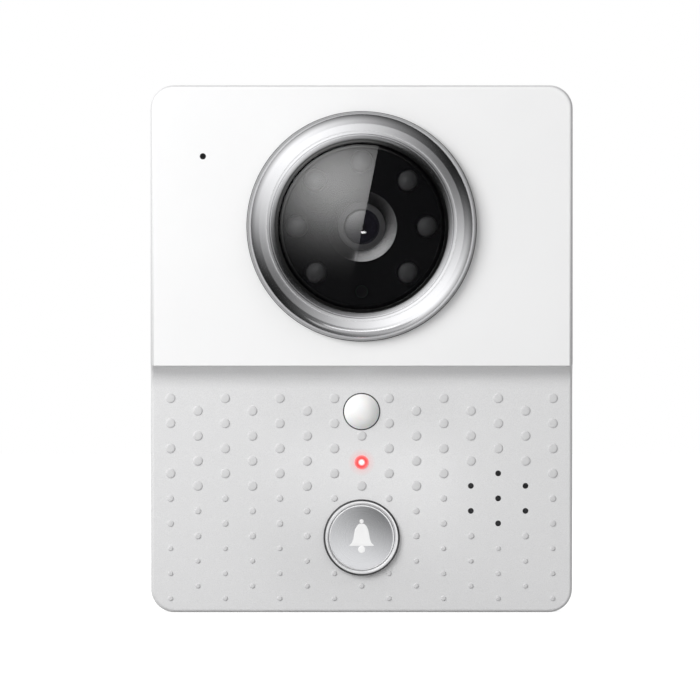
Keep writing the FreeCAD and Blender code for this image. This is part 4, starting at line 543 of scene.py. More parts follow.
def dotPlaces():
    # The staggered lattice, without the places under the fittings and the speaker's holes
    middle, below = dots["holeMiddle"]
    fittings = np.array([
        (0, motion["z"], motion["radius"]), (0, light["z"], light["radius"]),
        (0, button["z"], button["ring"]),
        *((middle + a * dots["pitch"], below - b * dots["row"], dots["holeRadius"])
          for a, b in dots["holeSteps"]),
    ])
    row, column = np.meshgrid(np.arange(dots["rows"]),
                              np.arange(-dots["columns"], dots["columns"] + 1), indexing="ij")
    radius = np.zeros(row.shape)
    for size, start, end in dots["bands"]:
        radius[start:end] = size
    x, z = column * dots["pitch"], dots["first"] - row * dots["row"]
    gap = np.hypot(x[..., None] - fittings[:, 0], z[..., None] - fittings[:, 1])
    free = (gap > fittings[:, 2] + radius[..., None] + dots["margin"]).all(-1)
    keep = ((column + row) % 2 == 1) & free
    return x[keep], z[keep], radius[keep]


def buildDots(finish):
    # Every dot is one small turned cap, placed by adding its centre, so all come in one array
    x, z, radius = dotPlaces()
    factor, rise = np.array(dots["section"]).T
    turn = np.linspace(0, 2 * math.pi, dots["segments"], endpoint=False)
    a = x[:, None, None] + radius[:, None, None] * factor * np.cos(turn)[:, None]
    c = z[:, None, None] + radius[:, None, None] * factor * np.sin(turn)[:, None]
    depth = panelDepth(c) + rise * dots["height"]
    points = np.stack([a, -depth, c], -1)
    count, segments, steps = a.shape
    one = gridFaces(segments, steps, closeRows=True)
    faces = (one[None] + (np.arange(count) * segments * steps)[:, None, None]).reshape(-1, 4)
    return buildMesh("raisedDots", points.reshape(-1, 3) * mm, faces, finish, smooth=60.0)


def buildMicrophoneLip():
    # The rubber boot's nose, a small black cup, lines the microphone's hole and stands in for the
    # shade deep inside it
    outer, rear, floor, front = (microphone[key] for key in ("radius", "rear", "floor", "front"))
    inner = outer - microphone["wall"]
    lip = [(0.0, rear), (outer, rear), (outer, front), (inner, front), (inner, floor), (0.0, floor)]
    turnedPiece("microphoneLip", lip, microphone["x"], microphone["z"], finishes["black"],
                segments=32, soft=0.02)


def trueFaces(mesh, points):
    # Exact directions for the flat face, the bowed face and the hollow of the step. The bow's is
    # (0, -1, -slope of its depth), and the hollow's points from the surface to its centre
    vertex = readAll(mesh.loops, "vertex_index", 1, np.int32)
    normals = readAll(mesh.corner_normals, "vector")
    total = readAll(mesh.polygons, "loop_total", 1, np.int32)
    facing = np.repeat(readAll(mesh.polygon_normals, "vector"), total, axis=0)
    depth, up = -points[vertex, 1], points[vertex, 2]
    below = up - case["panelTop"]
    slope = -below / np.sqrt(case["panelRadius"] ** 2 - below ** 2)
    zero = np.zeros(len(vertex))
    coveIn, coveUp = case["coveDepth"] - depth, -below
    coveReach = np.hypot(coveIn, coveUp)
    edge = exact["edge"]
    surfaces = [
        (np.abs(depth - case["upperDepth"]) < exact["flat"], np.stack([zero, zero - 1, zero], 1)),
        ((np.abs(depth - panelDepth(up)) < exact["bow"]) & (below < edge),
         np.stack([zero, zero - 1, -slope], 1)),
        ((np.abs(coveReach - case["coveRadius"]) < exact["hollow"]) & (below > -edge)
         & (up < case["stepTop"] + edge), np.stack([zero, -coveIn, coveUp], 1)),
    ]
    first = np.concatenate([[0], np.cumsum(total)[:-1]])
    for onFace, outward in surfaces:
        outward = outward / np.linalg.norm(outward, axis=1, keepdims=True)
        whole = np.repeat(np.minimum.reduceat(onFace.astype(int), first) == 1, total)
        chosen = onFace & (whole | ((facing * outward).sum(1) > exact["turn"]))
        normals[chosen] = outward[chosen]
    mesh.normals_split_custom_set(normals.tolist())


def buildCover():
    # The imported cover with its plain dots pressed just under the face, and rounded dots on it
    finish = coverFinish()
    piece = smoothCopy("front_cover", finish, name="frontCover", levelled=False)
    points = readAll(piece.data.vertices, "co", kind=float)
    across, depth, up = points[:, 0] / mm, -points[:, 1] / mm, points[:, 2] / mm
    x, z, radius = dotPlaces()
    near = (np.hypot(across[:, None] - x, up[:, None] - z) < radius + dots["slack"]).any(1)
    raised = near & (depth > panelDepth(up) + dots["slack"])
    points[raised, 1] = -(panelDepth(up[raised]) - dots["press"]) * mm
    piece.data.vertices.foreach_set("co", points.ravel())
    piece.data.update()
    trueFaces(piece.data, points / mm)
    # The dots take a darker copy of the silver: painted shade on their faces
    buildDots(mouldedFinish("dotSilverPaintedShade", shade(case["silver"], dots["shade"]), 0.5, depth=2e-6))
    print("dots:", len(x), "pressed points:", int(raised.sum()))


buildCover()
buildMicrophoneLip()
for node in ("rear_housing", "wall_bracket", "housing_seal", "cable_grommet", "case_screws",
             "security_screw"):
    smoothCopy(node, nodes[node].data.materials[0])
print("case dressed")


# The camera's ring, its smoked window and what shows behind it

bezel = {
    **nodePlace("camera_bezel"), "skirt": 24.6, "side": 0.8, "outerBend": 3.9, "crest": 25.9,
    "innerBend": 4.5, "band": (23.45, 28.5), "groove": (0.2, 0.4), "lip": (22.2, 27.6, 26.4),
    "bore": 23.2, "colour": (0.74, 0.74, 0.755), "roughness": 0.15, "shadedFoot": (28.1, 27.3),
    "paintedFootShade": 0.42,
}


def bezelSection():
    # Up the skirt and the side, over two bends that meet at the crest, past a fine groove and
    # down the lip that holds the window
    reach, rear, skirt, seat = bezel["reach"], bezel["rear"], bezel["skirt"], case["upperDepth"]
    band, face = bezel["band"]
    wide, deep = bezel["groove"]
    lip, lipFace, shelf = bezel["lip"]
    return [
        (skirt, rear), (skirt, seat), (reach, seat),
        (reach, seat + bezel["side"], bezel["outerBend"], -1),
        (bezel["crest"], bezel["front"], bezel["innerBend"], -1), (band, face),
        (band, face - deep), (band - wide, face - deep), (band - wide, face), (lip, lipFace),
        (lip, shelf), (bezel["bore"], shelf), (bezel["bore"], rear),
    ]


def bezelFinish():
    # Bright plated metal, with painted shade darkening its foot where the ring meets the case
    material, tree, shader = newFinish("chrome", Metallic=1.0, Roughness=bezel["roughness"])
    tint = speckle(tree, addNoise(tree, 90, 3), bezel["colour"], 0.02)
    # Painted shade at the foot of the ring, next to the case
    shadedFoot = depthSpread(tree, 0, 1, *bezel["shadedFoot"])
    feed(tree, shader, Base_Color=blendColour(tree, shadedFoot, tint,
                                              shade(bezel["colour"], bezel["paintedFootShade"])))
    addBump(tree, shader, addNoise(tree, 900, 4), 6e-7)
    return material


ring = turnedPiece("bezelRing", bezelSection(), 0, bezel["z"], bezelFinish(), segments=256,
                   soft=0.06, steps=28)
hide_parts("camera_bezel")

window = {
    **nodePlace("camera_window"), "radius": 21.5, "rise": 2.5, "wall": 1.5, "flange": 1.4,
    "bore": 20.2, "smoke": (0.004, 0.004, 0.005), "cover": 0.24, "gloss": 0.004, "border": 21.44,
}
mask = {"black": (0.002, 0.002, 0.0025)}


def windowFinish():
    # Thin smoked plastic: part of each face is tint, the rest lets light straight through
    material, tree, shader = newFinish("windowSmoke", Alpha=window["cover"], IOR=1.8,
                                       Specular_IOR_Level=1.0, Roughness=window["gloss"])
    feed(tree, shader, Base_Color=speckle(tree, addNoise(tree, 160, 2), window["smoke"], 0.1))
    return material


def maskFinish():
    # Dull black round the diodes
    material, tree, shader = newFinish("maskBlack", Specular_IOR_Level=0.06, Roughness=0.45)
    tint = speckle(tree, addNoise(tree, 240, 2), mask["black"], 0.04, span=(0, 1))
    feed(tree, shader, Base_Color=tint)
    return material


smoothCopy("camera_mask", maskFinish())
smoothCopy("lens_barrel", mouldedFinish("barrelBlack", (0.08, 0.08, 0.083), 0.45, grain=300,
                                        depth=1e-6))
dome = turnedPiece("windowDome", domeSection(window), 0, window["z"], windowFinish(),
                   segments=192, soft=0.04, steps=40)
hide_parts("camera_window")


def blackenBorder(piece):
    # The rim of the window is coloured black from a radius about its axis outwards, as painted shade
    # for the gap under the ring's lip
    mesh = piece.data
    mesh.materials.append(mouldedFinish("borderBlack", (0.006, 0.006, 0.006), 0.35, depth=1e-6))
    centres = readAll(mesh.polygons, "center") / mm
    reach = np.hypot(centres[:, 0], centres[:, 2] - window["z"])
    mesh.polygons.foreach_set("material_index", (reach > window["border"]).astype(np.int32))


blackenBorder(dome)

funnel = {
    "section": [(6.1, 21.35), (6.4, 21.3), (9.0, 23.6), (9.2, 24.0), (9.04, 24.2), (6.1, 22.75)],
    "colour": (0.20, 0.20, 0.203), "roughness": 0.15,
}
turnedPiece("lensFunnel", funnel["section"], 0, window["z"],
            metalFinish("funnelSatin", funnel["colour"], funnel["roughness"], depth=2e-7,
                        spots=0.02), segments=128, soft=0.03)

lens = {
    "radius": nodePlace("lens_glass")["reach"], "rear": 20.2, "rim": 0.6, "rise": 0.7,
    "pupil": (1.105, 1.495), "glass": (0.013, 0.012, 0.020, 1), "dark": (0.001, 0.001, 0.002, 1),
    "haze": (0.9, 1.25),
}


def lensFinish():
    # Dark coated glass over a round black stop
    material, tree, shader = newFinish("lensGlass", Roughness=0.04, Coat_Weight=0.5, IOR=1.6,
                                       Coat_Roughness=0.02)
    stop = reachSpread(tree, window["z"], 0, 1, *lens["pupil"])
    haze = reachSpread(tree, window["z"], *lens["haze"], 0, lens["radius"])
    body = addNode(tree, "Mix", {0: stop, 6: lens["dark"], 7: lens["glass"]}, data_type="RGBA")
    tint = addNode(tree, "VectorMath", {0: body.outputs[2], "Scale": haze}, operation="SCALE")
    feed(tree, shader, Base_Color=tint.outputs[0])
    return material


def lensSection():
    # A short rim under a ball's cap
    radius, rear, rise = lens["radius"], lens["rear"], lens["rise"]
    brow = rear + lens["rim"]
    return [(0.0, rear), (radius, rear), (radius, brow, ballRadius(radius, rise), -1),
            (0.0, brow + rise)]


glass = turnedPiece("frontLens", lensSection(), 0, window["z"], lensFinish(), segments=96,
                    soft=0.03)
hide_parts("lens_glass")

diodes = {
    **nodePlace("infrared_leds"), "pitch": 16.65, "places": 8, "radius": 2.8, "flange": (3.1, 1.0),
    "segments": 48,
}


def buildDiodes():
    # Domed diodes round the lens: one section turned about each place but the lowest
    radius, rear, tip, segments = (diodes[key] for key in ("radius", "rear", "front", "segments"))
    flange, lip = diodes["flange"][0], rear + diodes["flange"][1]
    line = sectionLine([(0.0, rear), (flange, rear), (flange, lip), (radius, lip),
                        (radius, tip - radius, radius, -1), (0.0, tip)], 0.05, 16)
    faces, patches = gridFaces(segments, len(line), closeRows=True, closeColumns=True), []
    for number in range(1, diodes["places"]):
        angle = 2 * math.pi * number / diodes["places"] - math.pi / 2
        x, z = diodes["pitch"] * math.cos(angle), bezel["z"] + diodes["pitch"] * math.sin(angle)
        patches.append((turnedPoints(line, x, z, segments), faces))
    piece = buildMesh("diodeDomes", *joined(patches), finishes["diode"])
    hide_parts("infrared_leds")


buildDiodes()
print("camera built")


# The motion sensor's dome and the status light

def motionFinish():
    # Milky plastic, with the shallow rings of the lens cut into its back showing through
    material, tree, shader = newFinish("domeWhite", Roughness=0.22, Coat_Weight=0.4,
                                       Subsurface_Weight=0.15, Subsurface_Scale=0.0006)
    rings = addMath(tree, "PINGPONG", axisReach(tree, motion["z"]), motion["groove"] * mm)
    height = spread(tree, rings, 0, 1, 0, motion["groove"] * mm)
    feed(tree, shader, Base_Color=blendColour(tree, height, *motion["milk"]))
    addBump(tree, shader, height, 4e-6)
    return material


motionDome = turnedPiece("motionLens", domeSection(motion), 0, motion["z"], motionFinish(),
                         segments=96)
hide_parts("motion_dome")


def lightFinish():
    # A lit diode under a red cap: white at the middle, red out to the rim
    material, tree, shader = newFinish("lightRed", Roughness=0.15, IOR=1.49, Coat_Weight=0.4,
                                       Emission_Strength=1.0)
    core = reachSpread(tree, light["z"], 1, 0, *light["core"])
    rim = reachSpread(tree, light["z"], 0, 1, *light["edge"])
    red = blendColour(tree, rim, light["glow"], light["rim"])
    feed(tree, shader, Emission_Color=blendColour(tree, core, red, light["white"]),
         Base_Color=blendColour(tree, core, *light["cap"]))
    return material


def lightSection():
    # A rod with a collar, its front a ball's cap
    radius, rear, tip, rise = (light[key] for key in ("radius", "rear", "front", "rise"))
    low, high = light["collar"]
    return [
        (0.0, rear), (radius, rear), (radius, low), (light["reach"], low), (light["reach"], high),
        (radius, high), (radius, tip - rise, ballRadius(radius, rise), -1), (0.0, tip),
    ]


pipe = turnedPiece("lightCap", lightSection(), 0, light["z"], lightFinish(), segments=64, soft=0.03)
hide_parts("status_light_pipe")


# The call button and its ring

trim = {**nodePlace("button_ring"), "bore": 8.5, "barrel": 9.2, "collar": 4.2, "corner": 0.5,
        "edge": (9.22, 9.38), "dark": (0.07, 0.07, 0.072, 1)}


def trimSection():
    # A barrel with a collar, both of its front edges a quarter round
    reach, bore, barrel, corner = (trim[key] for key in ("reach", "bore", "barrel", "corner"))
    rear, front = trim["rear"], trim["front"]
    collar = rear + trim["collar"]
    return [
        (bore, rear), (barrel, rear), (barrel, collar), (reach, collar),
        (reach, front - corner, corner, -1), (reach - corner, front),
        (bore + corner, front, corner, -1), (bore, front - corner),
    ]


def trimFinish():
    # Pale satin metal, its outer edge painted dark as the shade line round the ring
    material, tree, shader = newFinish("ringSatin", Metallic=0.55, Roughness=0.32)
    grain = addNoise(tree, 700, 3)
    pale = speckle(tree, grain, button["trim"], 0.03)
    # Painted shade: the outer rounding goes near black, standing in for the shade round the ring
    edge = reachSpread(tree, button["z"], 0, 1, *trim["edge"])
    feed(tree, shader, Base_Color=blendColour(tree, edge, pale, trim["dark"]))
    addBump(tree, shader, grain, 1e-6)
    return material


buttonRing = turnedPiece("buttonTrim", trimSection(), 0, button["z"], trimFinish(), soft=0.03,
                         steps=10)
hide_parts("button_ring")


def buttonFinish():
    # Spun metal: fine rings about the button's own axis, a satin gloss and a paler edge
    material, tree, shader = newFinish("buttonMetal")
    rings = addNode(tree, "TexNoise", {
        "W": axisReach(tree, button["z"]), "Scale": 9000.0, "Detail": 3.0,
    }, noise_dimensions="1D").outputs["Fac"]
    tint = speckle(tree, rings, button["metal"], 0.04, span=(0, 1))
    edge = reachSpread(tree, button["z"], 0, 1, *button["edge"])
    feed(tree, shader, Base_Color=blendColour(tree, edge, tint, (*button["trim"], 1)),
         Metallic=spread(tree, edge, 1.0, 0.45, 0, 1), Roughness=spread(tree, rings, 0.26, 0.34))
    addBump(tree, shader, rings, 1.2e-6)
    return material


def capSection():
    # A stem with a clip's neck under a cap, whose rounded edge runs into a hollow part of a ball
    reach, rear, front, corner = (button[key] for key in ("reach", "rear", "front", "corner"))
    stem, under = button["stem"]
    neck, low, high = button["neck"]
    edge, dish = button["dishEdge"], button["dish"]
    return [
        (0.0, rear), (stem, rear), (stem, low), (neck, low), (neck, high), (stem, high),
        (stem, under), (reach, under), (reach, front - corner, corner, -1),
        (reach - corner, front), (edge, front, ballRadius(edge, dish), 1), (0.0, front - dish),
    ]


cap = turnedPiece("buttonCap", capSection(), 0, button["z"], buttonFinish(), "call_button",
                  soft=0.03, steps=32)
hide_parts("call_button")

bell = {
    "width": 6.8, "height": 6.4, "low": -2.5, "lift": 0.06, "sink": 0.03,
    "clapper": (1.0, 0.55), "knob": (0.6, 0.25),
    "outline": [(0, 1.0), (0.08, 0.98), (0.16, 0.80), (0.32, 0.66), (0.52, 0.60), (0.70, 0.53),
                (0.84, 0.40), (0.94, 0.20), (1.0, 0.02)],
}


def dishDepth(x, z):
    # The button's face is part of a hollow ball: its floor plus radius less the rise of the ball
    ball = ballRadius(button["dishEdge"], button["dish"])
    return button["front"] - button["dish"] + ball - np.sqrt(ball ** 2 - x ** 2 - z ** 2)


def reliefPatch(across, up, lift):
    # A flat patch of a symbol laid on the dish: lifted in the middle, sunk just under at the rim
    faces, depth = gridFaces(*across.shape), dishDepth(across, up)
    top, low = (np.stack([across, -(depth + rise), up + button["z"]], -1).reshape(-1, 3) * mm
                for rise in (lift, -bell["sink"]))
    return joined([(top, faces), (low, faces[:, ::-1])])


def buildBell():
    # A bell: half width read from its outline at each height, a round clapper and a knob
    heights, widths = np.array(bell["outline"]).T
    v = np.linspace(0, 1, 41)[:, None]
    u = np.linspace(-1, 1, 25)[None, :]
    half = np.interp(v, heights, widths) * bell["width"] / 2
    rim = np.minimum(1, 6 * np.minimum(np.minimum(v, 1 - v) + 0 * u, 1 - np.abs(u) + 0 * v))
    patches = [(half * u, bell["low"] + bell["height"] * v + 0 * u, rim)]
    turn = np.linspace(0, 2 * math.pi, 49)[:, None]
    reach = np.linspace(0, 1, 9)[None, :]
    (clapper, drop), (knob, above) = bell["clapper"], bell["knob"]
    for centre, radius in ((bell["low"] - drop, clapper),
                           (bell["low"] + bell["height"] + above, knob)):
        patches.append((radius * reach * np.cos(turn), centre + radius * reach * np.sin(turn),
                        np.minimum(1, 4 * (1 - reach)) + 0 * turn))
    reliefs = [reliefPatch(across, up, bell["lift"] * rim - bell["sink"] * (1 - rim))
               for across, up, rim in patches]
    buildMesh("bellSymbol", *joined(reliefs),
              mouldedFinish("symbolWhite", (0.95, 0.95, 0.95), 0.35), "call_button")


def buildSpring():
    # A welded, smooth-shaded copy of the coil, with a mesh of its own
    spring = smoothCopy("button_spring", finishes["spring"])
    y = readAll(spring.data.vertices, "co")[:, 1]
    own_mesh(spring)


buildBell()
buildSpring()
print("button built")


# Dark rubber rings round the fittings that stand in for the shade in their gaps: each one's height,
# inner radius, width and seat. One that has no seat lies on the bowed face

seams = {"rise": 0.12, "sink": 0.05, "lines": [
    (bezel["z"], bezel["reach"] - 0.15, 0.32, case["upperDepth"]),
    (motion["z"], motion["radius"], 0.30, None),
    (button["z"], button["ring"] - 0.04, 0.14, None),
]}


def buildSeams():
    # Dark rings as painted shade in the gaps: a low half-round carried round each fitting, on the
    # face it lies on
    bow = np.linspace(0, math.pi, 9)
    turn = np.linspace(0, 2 * math.pi, 161)[:-1, None]
    faces, patches = gridFaces(len(turn), len(bow), closeRows=True, closeColumns=True), []
    for centre, inner, width, face in seams["lines"]:
        radius = inner + width / 2 * (1 - np.cos(bow))
        x, z = radius * np.cos(turn), centre + radius * np.sin(turn)
        seat = face if face is not None else panelDepth(z)
        depth = seat - seams["sink"] + (seams["rise"] + seams["sink"]) * np.sin(bow)
        patches.append((np.stack([x, -depth + 0 * x, z], -1).reshape(-1, 3) * mm, faces))
    buildMesh("shadeGapLines", *joined(patches), finishes["rubber"])


buildSeams()


# The studio: lamps as name, place, size and power, in metres and watts, and the camera's scale
# in millimetres for a pixel of the photograph

studio = {
    "scale": 0.256, "pixels": 700, "lens": 400.0, "sensor": 36.0, "offset": (-2.98, -22.5, -0.22),
    "ambient": 0.528, "lamps": [("keyLight", (-0.40, -0.48, 0.22), 0.40, 3.4),
                                ("backLight", (0.55, 1.00, 0.60), 0.60, 4.5)],
}
ground = {"z": -67.6, "half": 3.0, "tones": [(0.40, 0.40, 0.40, 1), (0.44, 0.44, 0.44, 1)],
          "glow": 0.84}


def plainRays(tree):
    # 1 for rays from the camera and for mirrored or refracted ones, 0 for light on the object
    path = addNode(tree, "LightPath").outputs
    bent = addMath(tree, "MAXIMUM", path["Is Glossy Ray"], path["Is Transmission Ray"])
    return addMath(tree, "MAXIMUM", path["Is Camera Ray"], bent)


def stageMaterial(name, build):
    # A material whose nodes up to the output are added by the build function
    material = bpy.data.materials.new(name)
    material.use_nodes = True
    tree = material.node_tree
    tree.nodes.remove(tree.nodes["Principled BSDF"])
    build(tree, tree.nodes["Material Output"])
    return material


def stageObject(name, corners, faces, material, seenInGloss=True):
    # A piece of the studio. Cards and tent are seen only in reflections, the floor never in them
    mesh = bpy.data.meshes.new(name)
    mesh.from_pydata([tuple(corner) for corner in corners], [], faces)
    piece = bpy.data.objects.new(name, mesh)
    bpy.context.scene.collection.objects.link(piece)
    mesh.materials.append(material)
    if seenInGloss:
        piece.visible_camera = piece.visible_diffuse = False
        piece.visible_shadow = piece.visible_transmission = False
    else:
        piece.visible_glossy = False
    piece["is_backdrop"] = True
    return piece


def glowMaterial(name, strength, clear=False):
    # Emission whose strength is worked out from the place on the card or tent. A clear card lets
    # the light from behind it through as well
    def build(tree, output):
        parts = addNode(tree, "SeparateXYZ", {0: objectPlace(tree)}).outputs
        glow = addNode(tree, "Emission", {
            "Strength": strength(tree, parts["X"], parts["Y"], parts["Z"])})
        if clear:
            through = addNode(tree, "BsdfTransparent")
            glow = addNode(tree, "AddShader", {0: glow.outputs[0], 1: through.outputs[0]})
        tree.links.new(glow.outputs[0], output.inputs["Surface"])
    material = stageMaterial(name, build)
    material.cycles.emission_sampling = "NONE"
    return material


def buildFloor():
    # White with the object's shadow: its own shading plus a little light, and clear from below
    def build(tree, output):
        grain = spread(tree, addNoise(tree, 60, 3), 0, 1)
        diffuse = addNode(tree, "BsdfDiffuse", {"Color": blendColour(tree, grain, *ground["tones"])})
        glow = addNode(tree, "Emission", {
            "Strength": addMath(tree, "MULTIPLY", plainRays(tree), ground["glow"])})
        both = addNode(tree, "AddShader", {0: diffuse.outputs[0], 1: glow.outputs[0]})
        clear = addNode(tree, "BsdfTransparent")
        back = addNode(tree, "NewGeometry").outputs["Backfacing"]
        mix = addNode(tree, "MixShader", {0: back, 1: both.outputs[0], 2: clear.outputs[0]})
        tree.links.new(mix.outputs[0], output.inputs["Surface"])

    z, half = ground["z"] * mm, ground["half"]
    stageObject("floor", [(-half, -half, z), (half, -half, z), (half, half, z), (-half, half, z)],
                [(0, 1, 2, 3)], stageMaterial("floorWhite", build), seenInGloss=False)


def sideStrength(tree, x, z, floor, slope, curve, tall):
    # Dark at the upper right and lower left, bright at the other two corners. With s as the sum
    # of the squares of x and z, and t as a half less x z / s, it is
    # floor + slope t + curve t squared + tall (z squared less x squared) / s
    wide, high = addMath(tree, "MULTIPLY", x, x), addMath(tree, "MULTIPLY", z, z)
    square = addMath(tree, "MAXIMUM", addMath(tree, "ADD", wide, high), 1e-8)
    t = addMath(tree, "SUBTRACT", 0.5,
                addMath(tree, "DIVIDE", addMath(tree, "MULTIPLY", x, z), square))
    rise = addMath(tree, "ADD", slope, addMath(tree, "MULTIPLY", t, curve))
    upright = addMath(tree, "DIVIDE", addMath(tree, "SUBTRACT", high, wide), square)
    base = addMath(tree, "ADD", floor, addMath(tree, "MULTIPLY", upright, tall))
    return addMath(tree, "ADD", base, addMath(tree, "MULTIPLY", t, rise))


def tentStrength(tree, x, y, z):
    # Cloth with two dark corners, a fall with depth, darker far down, even straight ahead and
    # plain behind the object. A span is where a change starts and ends, over the tent's radius
    side = sideStrength(tree, x, z, *tent["side"])
    ahead = addMath(tree, "DIVIDE", y, -tent["radius"])
    fall = spread(tree, ahead, tent["fall"], 1.0, *tent["fallSpan"])
    behind = spread(tree, ahead, 0.0, 1.0, *tent["behindSpan"])
    low = spread(tree, z, tent["low"], 1.0, *(part * tent["radius"] for part in tent["lowSpan"]))
    start, full = tent["middleSpan"]
    middle = addNode(tree, "MapRange", {
        "Value": ahead, "From Min": start, "From Max": full, "To Min": 0.0, "To Max": 1.0,
    }, interpolation_type="SMOOTHSTEP").outputs[0]
    around = addMath(tree, "MULTIPLY", addMath(tree, "MULTIPLY", side, fall), low)
    front = addNode(tree, "Mix", {0: middle, 2: around, 3: tent["middle"]}).outputs[0]
    return addNode(tree, "Mix", {0: behind, 2: front, 3: tent["behind"]}).outputs[0]


def squaredReach(tree, x, z, centre, sizes):
    # The squared distance from a centre, the x and z of it measured in sizes of their own
    squares = []
    for value, middle, size in zip((x, z), centre, sizes):
        gap = addMath(tree, "DIVIDE", addMath(tree, "SUBTRACT", value, middle * mm), size * mm)
        squares.append(addMath(tree, "MULTIPLY", gap, gap))
    return addMath(tree, "ADD", *squares)


def windowCardStrength(tree, x, y, z):
    # Right of a leaning line it is dark. Left of it a round glow lies high up, the peak times e to
    # the power of less the squared reach. A small bright spot gives the lens its point of light
    edge = addMath(tree, "SUBTRACT", x, addMath(tree, "MULTIPLY", z, windowCard["lean"]))
    left = addMath(tree, "LESS_THAN", edge, windowCard["edge"] * mm)
    reach = squaredReach(tree, x, z, windowCard["centre"], windowCard["spread"])
    fade = addMath(tree, "POWER", math.e, addMath(tree, "MULTIPLY", reach, -1.0))
    glow = addMath(tree, "MULTIPLY", fade, windowCard["peak"])
    lit = addMath(tree, "MAXIMUM", glow, windowCard["dark"] * 1.5)
    card = addNode(tree, "Mix", {0: left, 2: windowCard["dark"], 3: lit}).outputs[0]
    reach = squaredReach(tree, x, z, windowCard["spot"], windowCard["spotSizes"])
    spot = spread(tree, addMath(tree, "SQRT", reach), windowCard["spotPeak"], 0, 0.6, 1.0)
    return addMath(tree, "ADD", card, spot)


def backCardStrength(tree, x, y, z):
    # Dark and bright by turns round the window's axis, like the tent, for the metal ring
    up = addMath(tree, "SUBTRACT", z, window["z"] * mm)
    return sideStrength(tree, x, up, *backCard["side"])


def buttonCardStrength(tree, x, y, z):
    # The hollow face turns it over: dark low down and to the left, bright at the upper right
    lean = addMath(tree, "ADD", z, addMath(tree, "MULTIPLY", x, buttonCard["lean"]))
    return spread(tree, lean, buttonCard["dark"], buttonCard["pale"], buttonCard["from"] * mm,
                  buttonCard["to"] * mm)


tent = {
    "radius": 2.4, "steps": 24, "side": (0.05, 0.5, 0.85, 0.11), "fall": 0.22, "middle": 0.66,
    "behind": 0.75, "low": 0.85, "fallSpan": (-0.2, 0.65), "behindSpan": (-0.35, -0.7),
    "lowSpan": (-0.95, -0.6), "middleSpan": (0.90, 0.985),
}
windowCard = {
    "depth": 47.5, "radius": 31.2, "middle": (0.1, 31.7), "lean": 0.201, "edge": -5.96,
    "centre": (-9.5, 48.3), "spread": (20.0, 17.0), "peak": 4.8, "dark": 0.03,
    "spot": (0.7, 29.4), "spotSizes": (1.1, 0.5), "spotPeak": 13.0,
}
backCard = {"depth": 47.8, "radius": 34.2, "side": (0.25, 1.0, 0.15, 0.19), "opening": 26.0}
buttonCard = {
    "depth": 70.0, "reach": 24.0, "low": -70.0, "high": -28.0, "dark": 0.09, "pale": 1.8,
    "from": -65.5, "to": -28.0, "lean": 0.42,
}
ringCard = {"depth": 40.0, "reach": 24.0, "low": -23.0, "high": -7.0, "strength": 0.52}


def buildTent():
    # A ball of cloth round the whole studio: radius times the two circles' sines and cosines
    steps = tent["steps"]
    up, turn = np.meshgrid(np.linspace(0, math.pi, steps + 1),
                           np.linspace(0, 2 * math.pi, 2 * steps, endpoint=False), indexing="ij")
    points = tent["radius"] * np.stack(
        [np.sin(up) * np.cos(turn), np.sin(up) * np.sin(turn), np.cos(up)], -1).reshape(-1, 3)
    faces = gridFaces(steps + 1, 2 * steps, closeColumns=True)
    stageObject("tent", points.tolist(), faces.tolist(), glowMaterial("tentCloth", tentStrength))


def windowPieces(name, state):
    # A group for light linking: the pieces whose boxes, seen square on, reach no further from the
    # window's middle than the opening
    group = bpy.data.collections.new(name)
    for piece in bpy.context.scene.objects:
        if piece.type == "MESH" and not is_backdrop(piece):
            corners = np.array(piece.bound_box)[:, [0, 2]] / mm
            if np.abs(corners - [0, window["z"]]).max() < backCard["opening"]:
                group.objects.link(piece)
    for member in group.collection_objects:
        member.light_linking.link_state = state
    return group


def roundCard(name, card, x, z, material):
    # A disc across the view: its middle plus the radius times the cosine and sine of the turn
    turn = np.linspace(0, 2 * math.pi, 96, endpoint=False)
    spots = np.stack([(x + card["radius"] * np.cos(turn)) * mm, -card["depth"] * mm + 0 * turn,
                      (z + card["radius"] * np.sin(turn)) * mm], 1)
    return stageObject(name, spots.tolist(), [tuple(range(96))], material)


def squareCard(name, card, strength):
    # Upright, its corners at the reach to both sides and at the low and high edges
    x, y, low, high = (card[key] * mm for key in ("reach", "depth", "low", "high"))
    stageObject(name, [(-x, -y, low), (x, -y, low), (x, -y, high), (-x, -y, high)],
                [(0, 1, 2, 3)], glowMaterial(name + "Glow", strength))


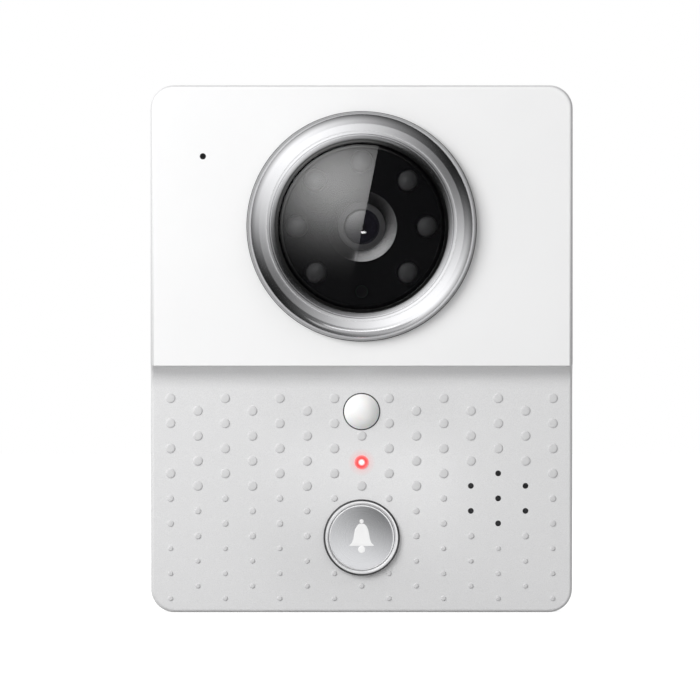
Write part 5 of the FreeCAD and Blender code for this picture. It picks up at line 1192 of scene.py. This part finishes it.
def buildCards():
    # Two round cards, one that only the window sees and one behind it that the window doesn't
    # see, a square one further off for the button, and one that hides that from the metal ring
    near = roundCard("windowCard", windowCard, *windowCard["middle"],
                     glowMaterial("windowCardGlow", windowCardStrength, clear=True))
    near.light_linking.receiver_collection = windowPieces("windowSees", "INCLUDE")
    behind = roundCard("backCard", backCard, windowCard["middle"][0], window["z"],
                       glowMaterial("backCardGlow", backCardStrength))
    behind.light_linking.receiver_collection = windowPieces("windowOmits", "EXCLUDE")
    squareCard("buttonCard", buttonCard, buttonCardStrength)
    squareCard("ringCard", ringCard, lambda tree, x, y, z: ringCard["strength"])


def buildLights():
    # Square lamps that aim at the object's middle
    for name, place, size, power in studio["lamps"]:
        lamp = bpy.data.lights.new(name, "AREA")
        lamp.size = size
        lamp.energy = power
        lampObject = bpy.data.objects.new(name, lamp)
        bpy.context.scene.collection.objects.link(lampObject)
        lampObject.location = place
        lampObject.rotation_mode = "QUATERNION"
        lampObject.rotation_quaternion = (-Vector(place)).to_track_quat("-Z", "Y")
        lampObject.visible_camera = False
        lampObject.visible_glossy = False  # the tent gives the object its reflections


def buildWorld():
    # White where it is looked at or mirrored, softer as light on the object
    world = bpy.data.worlds.new("studioWhite")
    world.use_nodes = True
    bpy.context.scene.world = world
    tree = world.node_tree
    background = tree.nodes["Background"]
    background.inputs["Color"].default_value = (1, 1, 1, 1)
    feed(tree, background, Strength=spread(tree, plainRays(tree), studio["ambient"], 1.0, 0, 1))


def buildCamera():
    # Square on and far off, moved sideways so that the object lands where the photograph has it
    data = bpy.data.cameras.new("camera")
    data.lens, data.sensor_width = studio["lens"], studio["sensor"]
    data.clip_start, data.clip_end = 0.01, 50
    camera = bpy.data.objects.new("camera", data)
    bpy.context.scene.collection.objects.link(camera)
    distance = studio["pixels"] * studio["scale"] * studio["lens"] / studio["sensor"]
    x, y, z = studio["offset"]
    camera.location = (x * mm, (y - distance) * mm, z * mm)
    camera.rotation_euler = (math.pi / 2, 0, 0)
    bpy.context.scene.camera = camera


buildCamera()
buildFloor()
buildTent()
buildCards()
buildLights()
buildWorld()
bpy.context.scene.view_settings.view_transform = "Standard"
print("studio built")
